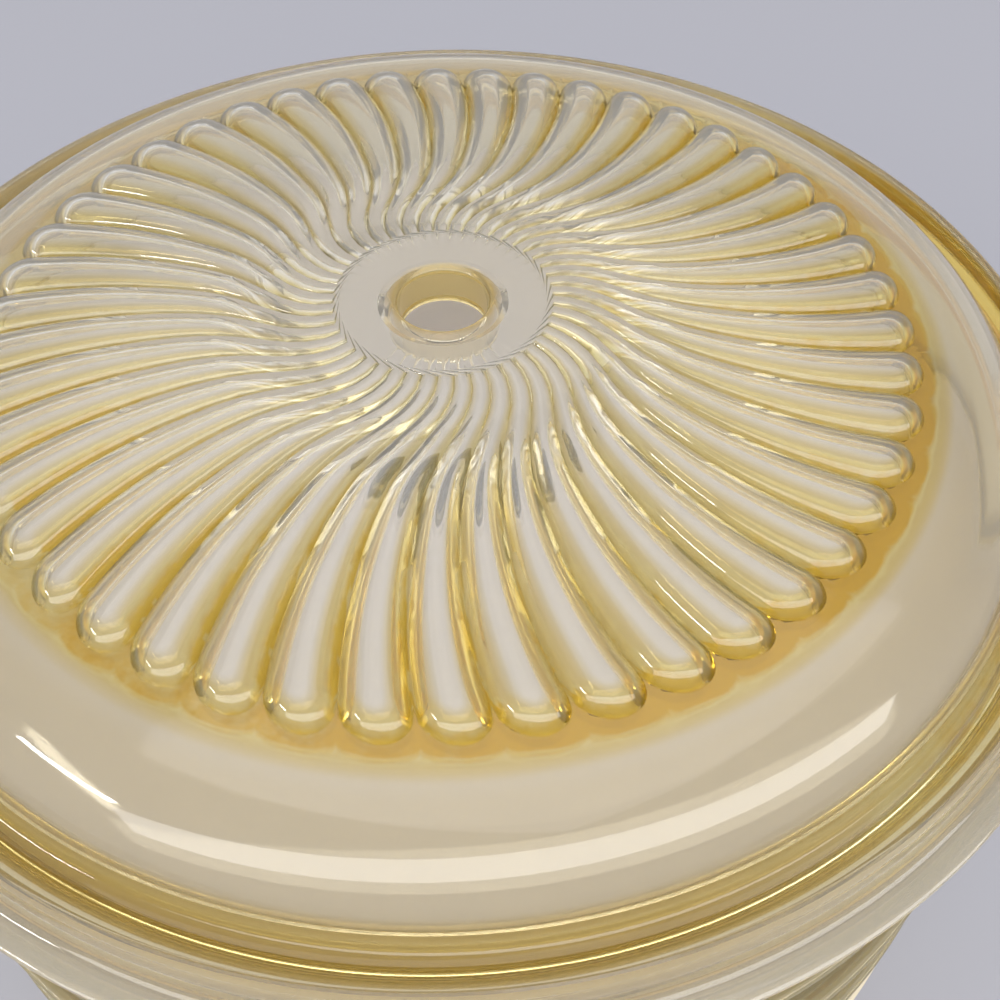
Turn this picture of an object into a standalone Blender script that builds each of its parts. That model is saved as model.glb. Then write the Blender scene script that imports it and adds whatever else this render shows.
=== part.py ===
"""Round stackable food dehydrator: a heated fan base, four slotted trays and a fluted clear lid.

Metres, +Z up. The origin is on the vertical axis at the surface the rubber feet stand on, and the
controls face -Y. Every lathe-turned piece shares that axis, and all the stacking sizes come from
WALL_RADIUS, so that a tray, the base and the lid always seat on one another.
"""

from math import cos, exp, pi, radians, sin

import bmesh
import bpy
from mathutils import Matrix, Vector

# Overall sizes
WALL_RADIUS = 0.1598        # outside of the tray walls and of the base rim
BASE_HEIGHT = 0.086         # floor to the rim the first tray stands on
TRAY_PITCH = 0.034          # height that each tray adds to the stack
TRAY_COUNT = 4
LID_RISE = 0.0348           # lid seat up to the plane of the flute tips
FLANGE_OVERHANG = 0.0080    # lid flange past the tray walls

# Walls and fits
REST_GAP = 0.0003           # between pieces that rest on each other
CUT_PAST = 0.0010           # how far a cutting tool runs past the face it cuts
SLIP_GAP = 0.0007           # radial play of a spigot in the rim below it
SCREW_GAP = 0.0005          # radial play of a screw in its hole
PLASTIC_WALL = 0.0026
BEAD_WIDTH = 0.0027         # rim bead outside the wall
BEAD_HEIGHT = 0.0040
SPIGOT_DEPTH = 0.0050       # how far a spigot drops into the rim below
SPIGOT_WALL = 0.0020

# Tray floor
TRAY_FLOOR = 0.0024
CHIMNEY_RADIUS = 0.0160
CHIMNEY_WALL = 0.0020
CHIMNEY_HEIGHT = 0.0100
SHEET_THICKNESS = 0.0012
SHEET_RIM = 0.0050

# Lid
FLUTE_BAND = 0.0301         # plain band from the flute tips out to the shoulder's edge
FLUTE_COUNT = 46
FLUTE_DEPTH = 0.0030
FLUTE_START = 0.25          # share of the full depth where a flute starts at the disc
TIP_FALL = 0.4              # share of the depth that a flute's end has dropped at its tip
FLUTE_SWIRL = radians(15.5)
FLUTE_LEAN = radians(3.0)
DISC_RADIUS = 0.0272
DISC_RISE = 0.0050          # centre disc above the plane of the flute tips
VENT_RADIUS = 0.0117
VENT_COLLAR_DEPTH = 0.0105
VENT_TAPER = 0.0010
LID_WALL = 0.0030
SHOULDER_INSET = 0.0117     # crisp lower edge of the shoulder, in from the tray walls
SHOULDER_DROP = 0.0207
COVE_DEPTH = 0.0055
LEDGE_INSET = 0.0011
LEDGE_DROP = 0.0197

# Base
FOOT_RADIUS = 0.0090
FOOT_HEIGHT = 0.0082
FOOT_INSET = 0.0360         # foot centres in from the base's bottom edge
BASE_TAPER = 0.0118         # bottom edge in from the rim's wall
HEEL_FLARE = 0.0045
HEEL_RISE = 0.0040
WAIST_INSET = 0.0040
WAIST_DROP = 0.0090         # waist below the ledge
PLATE_THICKNESS = 0.0025
SCREW_RADIUS = 0.0016
SCREW_HEAD_RADIUS = 0.0034
SCREW_HEAD_HEIGHT = 0.0020
HOUSING_SCREW_LENGTH = 0.0140
DECK_SCREW_LENGTH = 0.0070
MOTOR_SCREW_LENGTH = 0.0080
SCREW_END_ROOM = 0.0020     # blind hole past a screw's end
BOSS_WIDTH = 0.0120
BOSS_LENGTH = 0.0170
BOSS_HEIGHT = 0.0280
BOSS_INSET = 0.0075         # boss centres in from the plate's edge
DECK_LEDGE = 0.0070         # width of the inner ledge the air deck lies on
DECK_THICKNESS = 0.0024
DECK_DROP = 0.0085          # base rim down to the deck's top face
DUCT_RADIUS = 0.0700
DUCT_WALL = 0.0012
SHEET_STEEL = 0.0015
MOTOR_RADIUS = 0.0200
MOTOR_HEIGHT = 0.0226
MOTOR_POST_CIRCLE = 0.0260
MOTOR_POST_RADIUS = 0.0040
SHAFT_RADIUS = 0.0015
FAN_RADIUS = 0.0520
FAN_HUB_RADIUS = 0.0150
FAN_HEIGHT = 0.0090
FAN_BLADES = 5
FAN_ROOM = 0.0020           # clear space between the motor and the fan
SHAFT_END = 0.0010          # shaft end past the nut
SHAFT_ROOM = 0.0007         # clear space over the shaft
NUT_HEIGHT = 0.0025
SHAFT_DEPTH = 0.0080        # bore in the motor's top
HEATER_CIRCLE = 0.0450
HEATER_WIRE = 0.0022
INSULATOR_HEIGHT = 0.0027
INSULATOR_RADIUS = 0.0035
HEATER_ROOM = 0.0020        # clear space over the heating element

# Controls and power inlet
PANEL_WIDTH = 0.0840
PANEL_HEIGHT = 0.0370
PANEL_MIDDLE = 0.0410       # height of the panel's centre line
PANEL_RECESS = 0.0033       # its face in from the tray walls
PANEL_DEPTH = 0.0280
PANEL_GAP = 0.0005
CONTROL_SPACING = 0.0220    # knob and rocker each side of the lamp
KNOB_RADIUS = 0.0140
KNOB_LENGTH = 0.0105
SPINDLE_RADIUS = 0.0030
THERMOSTAT_RADIUS = 0.0135
THERMOSTAT_DEPTH = 0.0130
SPINDLE_BORE = 0.0060       # bore for the spindle in the thermostat
SPINDLE_REACH = 0.0070      # spindle in the knob
KNOB_TAPER = 0.9
ROCKER_WIDTH = 0.0160
ROCKER_HEIGHT = 0.0092
ROCKER_DEPTH = 0.0085
ROCKER_TILT = radians(7.0)
ROCKER_SIDE_ROOM = 0.0004
ROCKER_END_ROOM = 0.0016    # for the ends to swing past the pocket's walls
ROCKER_PROUD = 0.0020
ROCKER_DISH = 0.0016        # hollow across the pressed face
SWITCH_WALL = 0.0016
SWITCH_DEPTH = 0.0220
LAMP_RADIUS = 0.0030
LAMP_DEPTH = 0.0080
LAMP_PROUD = 0.0015
INLET_WIDTH = 0.0210
INLET_HEIGHT = 0.0170
INLET_DEPTH = 0.0310
INLET_MIDDLE = 0.0340
INLET_WALL = 0.0025
INLET_POCKET = 0.0140
PIN_RADIUS = 0.0012
PIN_SPACING = 0.0080
PIN_TAIL = 0.0050           # pin past the inlet's back
PIN_RECESS = 0.0040         # pin tip behind the inlet's face
LEAD_RADIUS = 0.0013

# Facets round a full turn
STACK_FACETS = 36
SMALL_FACETS = 12
SCREW_FACETS = 8

for old in list(bpy.data.objects):
    bpy.data.objects.remove(old)


def material(name, color, roughness, metallic=0.0, alpha=1.0):
    made = bpy.data.materials.new(name)
    made.use_nodes = True
    shader = made.node_tree.nodes["Principled BSDF"]
    shader.inputs["Base Color"].default_value = (*color, 1.0)
    shader.inputs["Roughness"].default_value = roughness
    shader.inputs["Metallic"].default_value = metallic
    shader.inputs["Alpha"].default_value = alpha
    return made


AMBER = material("amber_clear_plastic", (0.86, 0.70, 0.30), 0.08, alpha=0.45)
SHEET = material("pale_sheet_plastic", (0.72, 0.71, 0.75), 0.45)
CASING = material("almond_casing_plastic", (0.78, 0.72, 0.60), 0.38)
DARK = material("black_plastic", (0.03, 0.03, 0.03), 0.45)
RUBBER = material("grey_rubber", (0.10, 0.10, 0.10), 0.80)
STEEL = material("zinc_plated_steel", (0.62, 0.62, 0.60), 0.35, metallic=1.0)
HEATER = material("heater_steel", (0.25, 0.22, 0.20), 0.50, metallic=1.0)
CERAMIC = material("white_ceramic", (0.85, 0.83, 0.78), 0.40)
BRASS = material("brass", (0.75, 0.58, 0.28), 0.30, metallic=1.0)
LAMP = material("red_lamp_plastic", (0.60, 0.05, 0.03), 0.15)
LEAD = material("lead_insulation", (0.55, 0.55, 0.52), 0.55)


def finish(name, mesh_builder, coat, location=(0, 0, 0), rotation=(0, 0, 0)):
    """Make a named object from a bmesh, with its normals facing out."""
    bmesh.ops.recalc_face_normals(mesh_builder, faces=mesh_builder.faces)
    mesh = bpy.data.meshes.new(name)
    mesh_builder.to_mesh(mesh)
    mesh_builder.free()
    mesh.shade_smooth()
    mesh.set_sharp_from_angle(angle=radians(35))
    mesh.materials.append(coat)
    made = bpy.data.objects.new(name, mesh)
    made.location = location
    made.rotation_euler = rotation
    bpy.context.scene.collection.objects.link(made)
    return made


def lathed(profile, facets=STACK_FACETS):
    """Spin a closed outline of (radius, height) points about the Z axis."""
    shape = bmesh.new()
    points = [shape.verts.new((radius, 0, height)) for radius, height in profile]
    edges = [shape.edges.new(pair) for pair in zip(points, points[1:] + points[:1])]
    bmesh.ops.spin(shape, geom=points + edges, cent=(0, 0, 0), axis=(0, 0, 1), angle=2 * pi,
                   steps=facets, use_merge=True)
    bmesh.ops.remove_doubles(shape, verts=shape.verts, dist=1e-6)
    return shape


def add_cylinder(shape, radius, low, high, x=0.0, y=0.0, facets=SMALL_FACETS, top_radius=None):
    top = radius if top_radius is None else top_radius
    place = Matrix.Translation((x, y, (low + high) / 2))
    bmesh.ops.create_cone(shape, cap_ends=True, segments=facets, radius1=radius, radius2=top,
                          depth=high - low, matrix=place)
    return shape


def add_box(shape, low, high, turn=0.0):
    """Add a box between two corners, then turn it about the Z axis."""
    size = [b - a for a, b in zip(low, high)]
    middle = Vector([(a + b) / 2 for a, b in zip(low, high)])
    place = Matrix.Rotation(turn, 4, "Z") @ Matrix.LocRotScale(middle, None, size)
    bmesh.ops.create_cube(shape, size=1.0, matrix=place)
    return shape


def cutter(name, shape, location=(0, 0, 0), rotation=(0, 0, 0)):
    """Finish a shape as a hidden tool that only Booleans read."""
    tool = finish(name, shape, DARK, location, rotation)
    tool.hide_render = True
    tool.display_type = "WIRE"
    return tool


def combine(target, tool, operation="DIFFERENCE"):
    step = target.modifiers.new(tool.name, "BOOLEAN")
    step.object = tool
    step.operation = operation
    step.solver = "EXACT"


def on_circle(radius, degrees):
    angle = radians(degrees)
    return radius * cos(angle), radius * sin(angle)


def add_slot_ring(shape, count, inner, outer, bar, low, high, turn=0.0):
    """Add wedge slots between two radii, leaving bars of an even width between them."""
    for index in range(count):
        middle = 2 * pi * index / count + turn
        corners = []
        for radius, side in ((inner, -1), (outer, -1), (outer, 1), (inner, 1)):
            reach = pi / count - bar / (2 * radius)
            angle = middle + side * reach
            corners.append((radius * cos(angle), radius * sin(angle)))
        bottom = shape.faces.new([shape.verts.new((x, y, low)) for x, y in corners])
        lifted = bmesh.ops.extrude_face_region(shape, geom=[bottom])["geom"]
        raised = [part for part in lifted if isinstance(part, bmesh.types.BMVert)]
        bmesh.ops.translate(shape, verts=raised, vec=(0, 0, high - low))
    return shape


# The round stack: every radius that has to line up comes from the wall
SHOULDER_RADIUS = WALL_RADIUS - SHOULDER_INSET
FLUTE_TIP_RADIUS = SHOULDER_RADIUS - FLUTE_BAND
LEDGE_RADIUS = WALL_RADIUS - LEDGE_INSET
LID_FLANGE_RADIUS = WALL_RADIUS + FLANGE_OVERHANG
BASE_BOTTOM_RADIUS = WALL_RADIUS - BASE_TAPER
FOOT_CIRCLE = BASE_BOTTOM_RADIUS - FOOT_INSET
PANEL_FACE = WALL_RADIUS - PANEL_RECESS
INLET_FACE = PANEL_FACE

# The stacking rim, the same on every tray and on the base
RIM_INSIDE = WALL_RADIUS - PLASTIC_WALL
BEAD_RADIUS = WALL_RADIUS + BEAD_WIDTH
SPIGOT_RADIUS = RIM_INSIDE - SLIP_GAP
BEAD_CHAMFER = 0.0012


def rim_points(top):
    """Outer wall up under the bead, over the flat rim and back to the inner wall."""
    return [
        (WALL_RADIUS, top - BEAD_HEIGHT),
        (BEAD_RADIUS, top - BEAD_HEIGHT + BEAD_CHAMFER),
        (BEAD_RADIUS, top),
        (RIM_INSIDE, top),
    ]


def spigot_points():
    """Locating ring under a stacking piece, up to the face that rests on the rim below."""
    return [
        (SPIGOT_RADIUS - SPIGOT_WALL, -SPIGOT_DEPTH),
        (SPIGOT_RADIUS - SLIP_GAP / 2, -SPIGOT_DEPTH),
        (SPIGOT_RADIUS, REST_GAP),
    ]


# Trays: one moulding, used for every level
FLOOR_TOP = REST_GAP + TRAY_FLOOR
SLOT_BAR = 0.0036
MIDDLE_RING = SPIGOT_RADIUS / 2     # solid ring between the two rows of slots
INNER_SLOTS = 16
OUTER_SLOTS = 30


def tray_mesh():
    outline = spigot_points() + [(WALL_RADIUS - SLIP_GAP, REST_GAP)] + rim_points(TRAY_PITCH) + [
        (RIM_INSIDE, FLOOR_TOP),
        (CHIMNEY_RADIUS + CHIMNEY_WALL, FLOOR_TOP),
        (CHIMNEY_RADIUS + CHIMNEY_WALL, CHIMNEY_HEIGHT),
        (CHIMNEY_RADIUS, CHIMNEY_HEIGHT),
        (CHIMNEY_RADIUS, REST_GAP),
        (SPIGOT_RADIUS - SPIGOT_WALL, REST_GAP),
    ]
    blank = finish("tray_blank", lathed(outline), AMBER)
    slots = bmesh.new()
    low, high = REST_GAP - CUT_PAST, FLOOR_TOP + CUT_PAST
    inner = CHIMNEY_RADIUS + CHIMNEY_WALL + 2 * SLOT_BAR
    outer = SPIGOT_RADIUS - SPIGOT_WALL - 3 * SLOT_BAR
    add_slot_ring(slots, INNER_SLOTS, inner, MIDDLE_RING - SLOT_BAR / 2, SLOT_BAR, low, high)
    add_slot_ring(slots, OUTER_SLOTS, MIDDLE_RING + SLOT_BAR / 2, outer, SLOT_BAR, low, high)
    tool = cutter("tray_slot_cutter", slots)
    combine(blank, tool)
    graph = bpy.context.evaluated_depsgraph_get()
    mesh = bpy.data.meshes.new_from_object(blank.evaluated_get(graph))
    mesh.name = "tray"
    for used in (blank, tool):
        bpy.data.objects.remove(used)
    return mesh


TRAY_MESH = tray_mesh()
for level in range(TRAY_COUNT):
    tray = bpy.data.objects.new(f"tray_{level + 1}", TRAY_MESH)
    tray.location.z = BASE_HEIGHT + level * TRAY_PITCH
    bpy.context.scene.collection.objects.link(tray)
TOP_TRAY_Z = BASE_HEIGHT + (TRAY_COUNT - 1) * TRAY_PITCH
LID_SEAT_Z = TOP_TRAY_Z + TRAY_PITCH

# Solid fruit-leather sheet lying on the top tray's floor
sheet_inner = CHIMNEY_RADIUS + CHIMNEY_WALL + 2 * SLIP_GAP
sheet_outer = SPIGOT_RADIUS - SPIGOT_WALL - PLASTIC_WALL
sheet_low = FLOOR_TOP + REST_GAP
finish("fruit_sheet", lathed([
    (sheet_inner, sheet_low),
    (sheet_outer, sheet_low),
    (sheet_outer + SHEET_THICKNESS, sheet_low + SHEET_RIM),
    (sheet_outer, sheet_low + SHEET_RIM),
    (sheet_outer - SHEET_THICKNESS, sheet_low + SHEET_THICKNESS),
    (sheet_inner + SHEET_THICKNESS, sheet_low + SHEET_THICKNESS),
    (sheet_inner + SHEET_THICKNESS, sheet_low + SHEET_RIM),
    (sheet_inner, sheet_low + SHEET_RIM),
]), SHEET, (0, 0, TOP_TRAY_Z))


# Lid: a vent collar, a disc, swirled flutes, a rolled shoulder, a cove, a ledge and a flange
def swirl(radius):
    """Turn of a flute's centre line at a radius: hooked at the disc, almost straight outside."""
    share = radius / FLUTE_TIP_RADIUS
    start = DISC_RADIUS / FLUTE_TIP_RADIUS
    hook = FLUTE_SWIRL * exp(-((share - start) / 0.15) ** 2)
    lean = FLUTE_LEAN * sin(pi * max(0.0, share - 0.33) / 0.67)
    return hook - lean


def crown(radius):
    """Height of the flute tops: a gentle dome from the disc's edge to the tips."""
    share = (FLUTE_TIP_RADIUS - radius) / (FLUTE_TIP_RADIUS - DISC_RADIUS)
    return DISC_RISE * share


def add_ring(shape, radius, heights, turn=0.0):
    count = len(heights)
    return [
        shape.verts.new((radius * cos(turn + 2 * pi * step / count),
                         radius * sin(turn + 2 * pi * step / count), heights[step]))
        for step in range(count)
    ]


def bridge(shape, first, second):
    """Join two rings, the second with as many points as the first or with half of them."""
    count = len(first)
    ratio = count // len(second)
    for step in range(0, count, ratio):
        here, after = second[step // ratio], second[(step // ratio + 1) % len(second)]
        if ratio == 1:
            shape.faces.new((first[step], first[(step + 1) % count], after, here))
            continue
        middle, end = first[(step + 1) % count], first[(step + 2) % count]
        shape.faces.new((first[step], middle, here))
        shape.faces.new((middle, after, here))
        shape.faces.new((middle, end, after))


def across_band(share):
    """Radius part of the way across the plain band between the flute tips and the shoulder's edge."""
    return FLUTE_TIP_RADIUS + share * FLUTE_BAND


def lid_shape():
    """Bridge rings of points from the vent, over the top and round under the lid, back to the vent."""
    shape = bmesh.new()
    double = 2 * FLUTE_COUNT
    disc_low = DISC_RISE - LID_WALL
    collar_low = DISC_RISE - VENT_COLLAR_DEPTH
    collar_radius = VENT_RADIUS + LID_WALL
    cove_low = -SHOULDER_DROP - COVE_DEPTH
    seat = -LID_RISE
    spigot_low = seat - REST_GAP - SPIGOT_DEPTH
    half_drop = -0.48 * SHOULDER_DROP
    rows = [
        (VENT_RADIUS, [DISC_RISE] * double, 0.0),
        (DISC_RADIUS, [DISC_RISE] * double, swirl(DISC_RADIUS)),
    ]
    for share in (0.25, 0.55, 0.85, 1.0):
        radius = DISC_RADIUS + share * (FLUTE_TIP_RADIUS - DISC_RADIUS)
        depth = FLUTE_DEPTH * (FLUTE_START + (1 - FLUTE_START) * share)
        peak = crown(radius) if share < 1 else -FLUTE_DEPTH * TIP_FALL
        rows.append((radius, [peak, crown(radius) - depth] * FLUTE_COUNT, swirl(radius)))
    rows.append((FLUTE_TIP_RADIUS + FLUTE_DEPTH, [-FLUTE_DEPTH] * double, 0.0))
    rings = [add_ring(shape, *row) for row in rows]
    lower_rows = [
        (across_band(0.35), -FLUTE_DEPTH - 0.0010),
        (across_band(0.75), half_drop),
        (across_band(0.93), -0.78 * SHOULDER_DROP),
        (SHOULDER_RADIUS, -SHOULDER_DROP),
        (SHOULDER_RADIUS + 0.0015, -SHOULDER_DROP - 0.75 * COVE_DEPTH),
        (SHOULDER_RADIUS + 0.0050, cove_low),
        (LEDGE_RADIUS - 0.0020, -SHOULDER_DROP - 0.55 * COVE_DEPTH),
        (LEDGE_RADIUS, -LEDGE_DROP),
        (LEDGE_RADIUS + 0.0012, -LEDGE_DROP - 0.0010),
        (LEDGE_RADIUS + 0.0030, seat + 0.0042),
        (LID_FLANGE_RADIUS - 0.0010, seat + 0.0024),
        (LID_FLANGE_RADIUS, seat + 0.0012),
        (LID_FLANGE_RADIUS - 0.0008, seat),
        (SPIGOT_RADIUS, seat),
        (SPIGOT_RADIUS - SLIP_GAP / 2, spigot_low),
        (SPIGOT_RADIUS - SPIGOT_WALL, spigot_low),
        (SPIGOT_RADIUS - SPIGOT_WALL, cove_low - LID_WALL),
        (SHOULDER_RADIUS - 0.0010, cove_low - LID_WALL + 0.0010),
        (SHOULDER_RADIUS - LID_WALL, -SHOULDER_DROP - 0.0010),
        (across_band(0.75) - 0.0020, half_drop - LID_WALL),
        (FLUTE_TIP_RADIUS, -FLUTE_DEPTH - LID_WALL),
        (DISC_RADIUS, disc_low - FLUTE_DEPTH * FLUTE_START),
        (collar_radius, disc_low),
        (collar_radius - VENT_TAPER, collar_low),
        (VENT_RADIUS - VENT_TAPER, collar_low),
    ]
    for radius, height in lower_rows:
        rings.append(add_ring(shape, radius, [height] * FLUTE_COUNT))
    for first, second in zip(rings, rings[1:]):
        bridge(shape, first, second)
    bridge(shape, rings[0], rings[-1])
    return shape


finish("lid_cover", lid_shape(), AMBER, (0, 0, LID_SEAT_Z + REST_GAP + LID_RISE))

# Base housing: a tapered tub with the stacking rim, an inner ledge, screw bosses and two windows
PLATE_LOW = FOOT_HEIGHT + REST_GAP
PLATE_TOP = PLATE_LOW + PLATE_THICKNESS
PLATE_RADIUS = BASE_BOTTOM_RADIUS - PLASTIC_WALL - SLIP_GAP
BOSS_CIRCLE = PLATE_RADIUS - BOSS_INSET
DECK_LOW = BASE_HEIGHT - DECK_DROP - DECK_THICKNESS
LEDGE_TOP = DECK_LOW - REST_GAP
WAIST_RADIUS = WALL_RADIUS - WAIST_INSET
WAIST_Z = LEDGE_TOP - WAIST_DROP
HEEL_RADIUS = BASE_BOTTOM_RADIUS + HEEL_FLARE
HEEL_Z = PLATE_LOW + HEEL_RISE
housing = finish("base_housing", lathed([
    (BASE_BOTTOM_RADIUS - PLASTIC_WALL, PLATE_LOW - REST_GAP),
    (BASE_BOTTOM_RADIUS, PLATE_LOW - REST_GAP),
    (HEEL_RADIUS, HEEL_Z),
    (WAIST_RADIUS, WAIST_Z),
] + rim_points(BASE_HEIGHT) + [
    (RIM_INSIDE, LEDGE_TOP),
    (RIM_INSIDE - DECK_LEDGE, LEDGE_TOP),
    (RIM_INSIDE - DECK_LEDGE, LEDGE_TOP - PLASTIC_WALL),
    (WAIST_RADIUS - PLASTIC_WALL, WAIST_Z - 0.0020),
    (HEEL_RADIUS - PLASTIC_WALL, HEEL_Z + 0.0010),
    (BASE_BOTTOM_RADIUS - PLASTIC_WALL, HEEL_Z - 0.0010),
]), CASING)

BOSS_LOW = PLATE_TOP + REST_GAP
BOSS_HOLE_TOP = PLATE_LOW + HOUSING_SCREW_LENGTH + SCREW_END_ROOM
SCREW_HOLE = SCREW_RADIUS + SCREW_GAP
BOSS_END = HEEL_RADIUS - 0.6 * PLASTIC_WALL
bosses, boss_holes, plate_holes = bmesh.new(), bmesh.new(), bmesh.new()
BASE_SCREWS = [on_circle(BOSS_CIRCLE, degrees) for degrees in (45, 135, 225, 315)]
for index, (x, y) in enumerate(BASE_SCREWS):
    add_box(bosses, (BOSS_END - BOSS_LENGTH, -BOSS_WIDTH / 2, BOSS_LOW),
            (BOSS_END, BOSS_WIDTH / 2, BOSS_LOW + BOSS_HEIGHT), pi / 4 + index * pi / 2)
    add_cylinder(boss_holes, SCREW_HOLE, BOSS_LOW - CUT_PAST, BOSS_HOLE_TOP, x, y, SCREW_FACETS)
    add_cylinder(plate_holes, SCREW_HOLE, PLATE_LOW - CUT_PAST, PLATE_TOP + CUT_PAST, x, y, SCREW_FACETS)
combine(housing, cutter("boss_tool", bosses), "UNION")
combine(housing, cutter("boss_hole_tool", boss_holes))

PANEL_BACK = PANEL_FACE - PANEL_DEPTH
INLET_BACK = INLET_FACE - INLET_DEPTH
windows = bmesh.new()
add_box(windows,
        (-PANEL_WIDTH / 2 - PANEL_GAP, -LID_FLANGE_RADIUS, PANEL_MIDDLE - PANEL_HEIGHT / 2 - PANEL_GAP),
        (PANEL_WIDTH / 2 + PANEL_GAP, -PANEL_BACK, PANEL_MIDDLE + PANEL_HEIGHT / 2 + PANEL_GAP))
add_box(windows,
        (-INLET_WIDTH / 2 - PANEL_GAP, INLET_BACK, INLET_MIDDLE - INLET_HEIGHT / 2 - PANEL_GAP),
        (INLET_WIDTH / 2 + PANEL_GAP, LID_FLANGE_RADIUS, INLET_MIDDLE + INLET_HEIGHT / 2 + PANEL_GAP))
combine(housing, cutter("window_tool", windows))
DECK_SCREWS = [on_circle(RIM_INSIDE - 0.6 * DECK_LEDGE, degrees) for degrees in (30, 150, 270)]
ledge_holes, deck_holes = bmesh.new(), bmesh.new()
for x, y in DECK_SCREWS:
    add_cylinder(ledge_holes, SCREW_HOLE, LEDGE_TOP - 2 * PLASTIC_WALL, LEDGE_TOP + CUT_PAST, x, y,
                 SCREW_FACETS)
    add_cylinder(deck_holes, SCREW_HOLE, DECK_LOW - CUT_PAST, DECK_LOW + 2 * DECK_THICKNESS, x, y,
                 SCREW_FACETS)
combine(housing, cutter("ledge_hole_tool", ledge_holes))


def screw(name, x, y, face, length, head_up):
    """Pan-head screw whose head lies on the given face, with its shank through it."""
    shape = bmesh.new()
    way = 1 if head_up else -1
    outline = [
        (0.0, -way * length),
        (SCREW_RADIUS, -way * length),
        (SCREW_RADIUS, way * REST_GAP),
        (SCREW_HEAD_RADIUS, way * REST_GAP),
        (SCREW_HEAD_RADIUS, way * (REST_GAP + 0.6 * SCREW_HEAD_HEIGHT)),
        (0.6 * SCREW_HEAD_RADIUS, way * (REST_GAP + SCREW_HEAD_HEIGHT)),
        (0.0, way * (REST_GAP + SCREW_HEAD_HEIGHT)),
    ]
    points = [shape.verts.new((radius, 0, height)) for radius, height in outline]
    edges = [shape.edges.new(pair) for pair in zip(points, points[1:])]
    bmesh.ops.spin(shape, geom=points + edges, cent=(0, 0, 0), axis=(0, 0, 1), angle=2 * pi,
                   steps=SCREW_FACETS, use_merge=True)
    bmesh.ops.remove_doubles(shape, verts=shape.verts, dist=1e-6)
    return finish(name, shape, STEEL, (x, y, face))


# Heights in the base, worked out downwards from the deck: heater, bracket, fan, motor, posts
HEATER_Z = DECK_LOW - HEATER_ROOM - HEATER_WIRE
INSULATOR_LOW = HEATER_Z - HEATER_WIRE - REST_GAP - INSULATOR_HEIGHT
SPIDER_LOW = INSULATOR_LOW - REST_GAP - SHEET_STEEL
SHAFT_TOP = SPIDER_LOW - SHAFT_ROOM
FAN_TOP = SHAFT_TOP - SHAFT_END - NUT_HEIGHT - REST_GAP
FAN_LOW = FAN_TOP - FAN_HEIGHT
MOTOR_TOP = FAN_LOW - FAN_ROOM
MOTOR_LOW = MOTOR_TOP - MOTOR_HEIGHT
BRACKET_LOW = MOTOR_LOW - REST_GAP - SHEET_STEEL
POST_TOP = BRACKET_LOW - REST_GAP

# Bottom plate: centre intake grille, posts for the motor, clearance holes for the housing screws
MOTOR_POSTS = [on_circle(MOTOR_POST_CIRCLE, degrees) for degrees in (90, 210, 330)]
POST_HOLE_LOW = BRACKET_LOW + SHEET_STEEL - MOTOR_SCREW_LENGTH - SCREW_END_ROOM
plate = add_cylinder(bmesh.new(), PLATE_RADIUS, PLATE_LOW, PLATE_TOP, facets=STACK_FACETS)
bottom_plate = finish("bottom_plate", plate, CASING)
posts, post_holes = bmesh.new(), bmesh.new()
for x, y in MOTOR_POSTS:
    add_cylinder(posts, MOTOR_POST_RADIUS, PLATE_TOP - CUT_PAST, POST_TOP, x, y)
    add_cylinder(post_holes, SCREW_HOLE, POST_HOLE_LOW, POST_TOP + CUT_PAST, x, y, SCREW_FACETS)
combine(bottom_plate, cutter("post_tool", posts), "UNION")
combine(bottom_plate, cutter("post_hole_tool", post_holes))
combine(bottom_plate, cutter("plate_hole_tool", plate_holes))
INTAKE_SLOTS = 18
INTAKE_INNER = MOTOR_POST_CIRCLE + MOTOR_POST_RADIUS + SLOT_BAR
INTAKE_OUTER = DUCT_RADIUS - DUCT_WALL - 1.5 * SLOT_BAR
intake = add_slot_ring(bmesh.new(), INTAKE_SLOTS, INTAKE_INNER, INTAKE_OUTER, SLOT_BAR,
                       PLATE_LOW - CUT_PAST, PLATE_TOP + CUT_PAST)
combine(bottom_plate, cutter("intake_tool", intake))
for index, (x, y) in enumerate(BASE_SCREWS):
    screw(f"housing_screw_{index + 1}", x, y, PLATE_LOW, HOUSING_SCREW_LENGTH, False)

for index, degrees in enumerate((0, 90, 180, 270)):
    x, y = on_circle(FOOT_CIRCLE, degrees)
    foot = add_cylinder(bmesh.new(), FOOT_RADIUS * 0.9, 0, FOOT_HEIGHT, top_radius=FOOT_RADIUS)
    finish(f"foot_{index + 1}", foot, RUBBER, (x, y, 0))

# Air deck: lies on the housing's ledge, slotted over the heater
OUTLET_SLOTS = 18
OUTLET_INNER = 0.0300
OUTLET_OUTER = DUCT_RADIUS - DUCT_WALL - SLOT_BAR
deck = add_cylinder(bmesh.new(), RIM_INSIDE - SLIP_GAP, DECK_LOW, DECK_LOW + DECK_THICKNESS,
                    facets=STACK_FACETS)
air_deck = finish("air_deck", deck, CASING)
combine(air_deck, cutter("deck_hole_tool", deck_holes))
outlet = add_slot_ring(bmesh.new(), OUTLET_SLOTS, OUTLET_INNER, OUTLET_OUTER, SLOT_BAR, DECK_LOW - CUT_PAST,
                       DECK_LOW + DECK_THICKNESS + CUT_PAST)
combine(air_deck, cutter("outlet_tool", outlet))
for index, (x, y) in enumerate(DECK_SCREWS):
    screw(f"deck_screw_{index + 1}", x, y, DECK_LOW + DECK_THICKNESS, DECK_SCREW_LENGTH, True)

# Air duct: rolled steel sleeve from the plate up to the heater bracket
DUCT_LOW = PLATE_TOP + REST_GAP
DUCT_TOP = SPIDER_LOW - REST_GAP
finish("air_duct", lathed([
    (DUCT_RADIUS - DUCT_WALL, DUCT_LOW),
    (DUCT_RADIUS, DUCT_LOW),
    (DUCT_RADIUS, DUCT_TOP),
    (DUCT_RADIUS - DUCT_WALL, DUCT_TOP),
]), STEEL)

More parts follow.
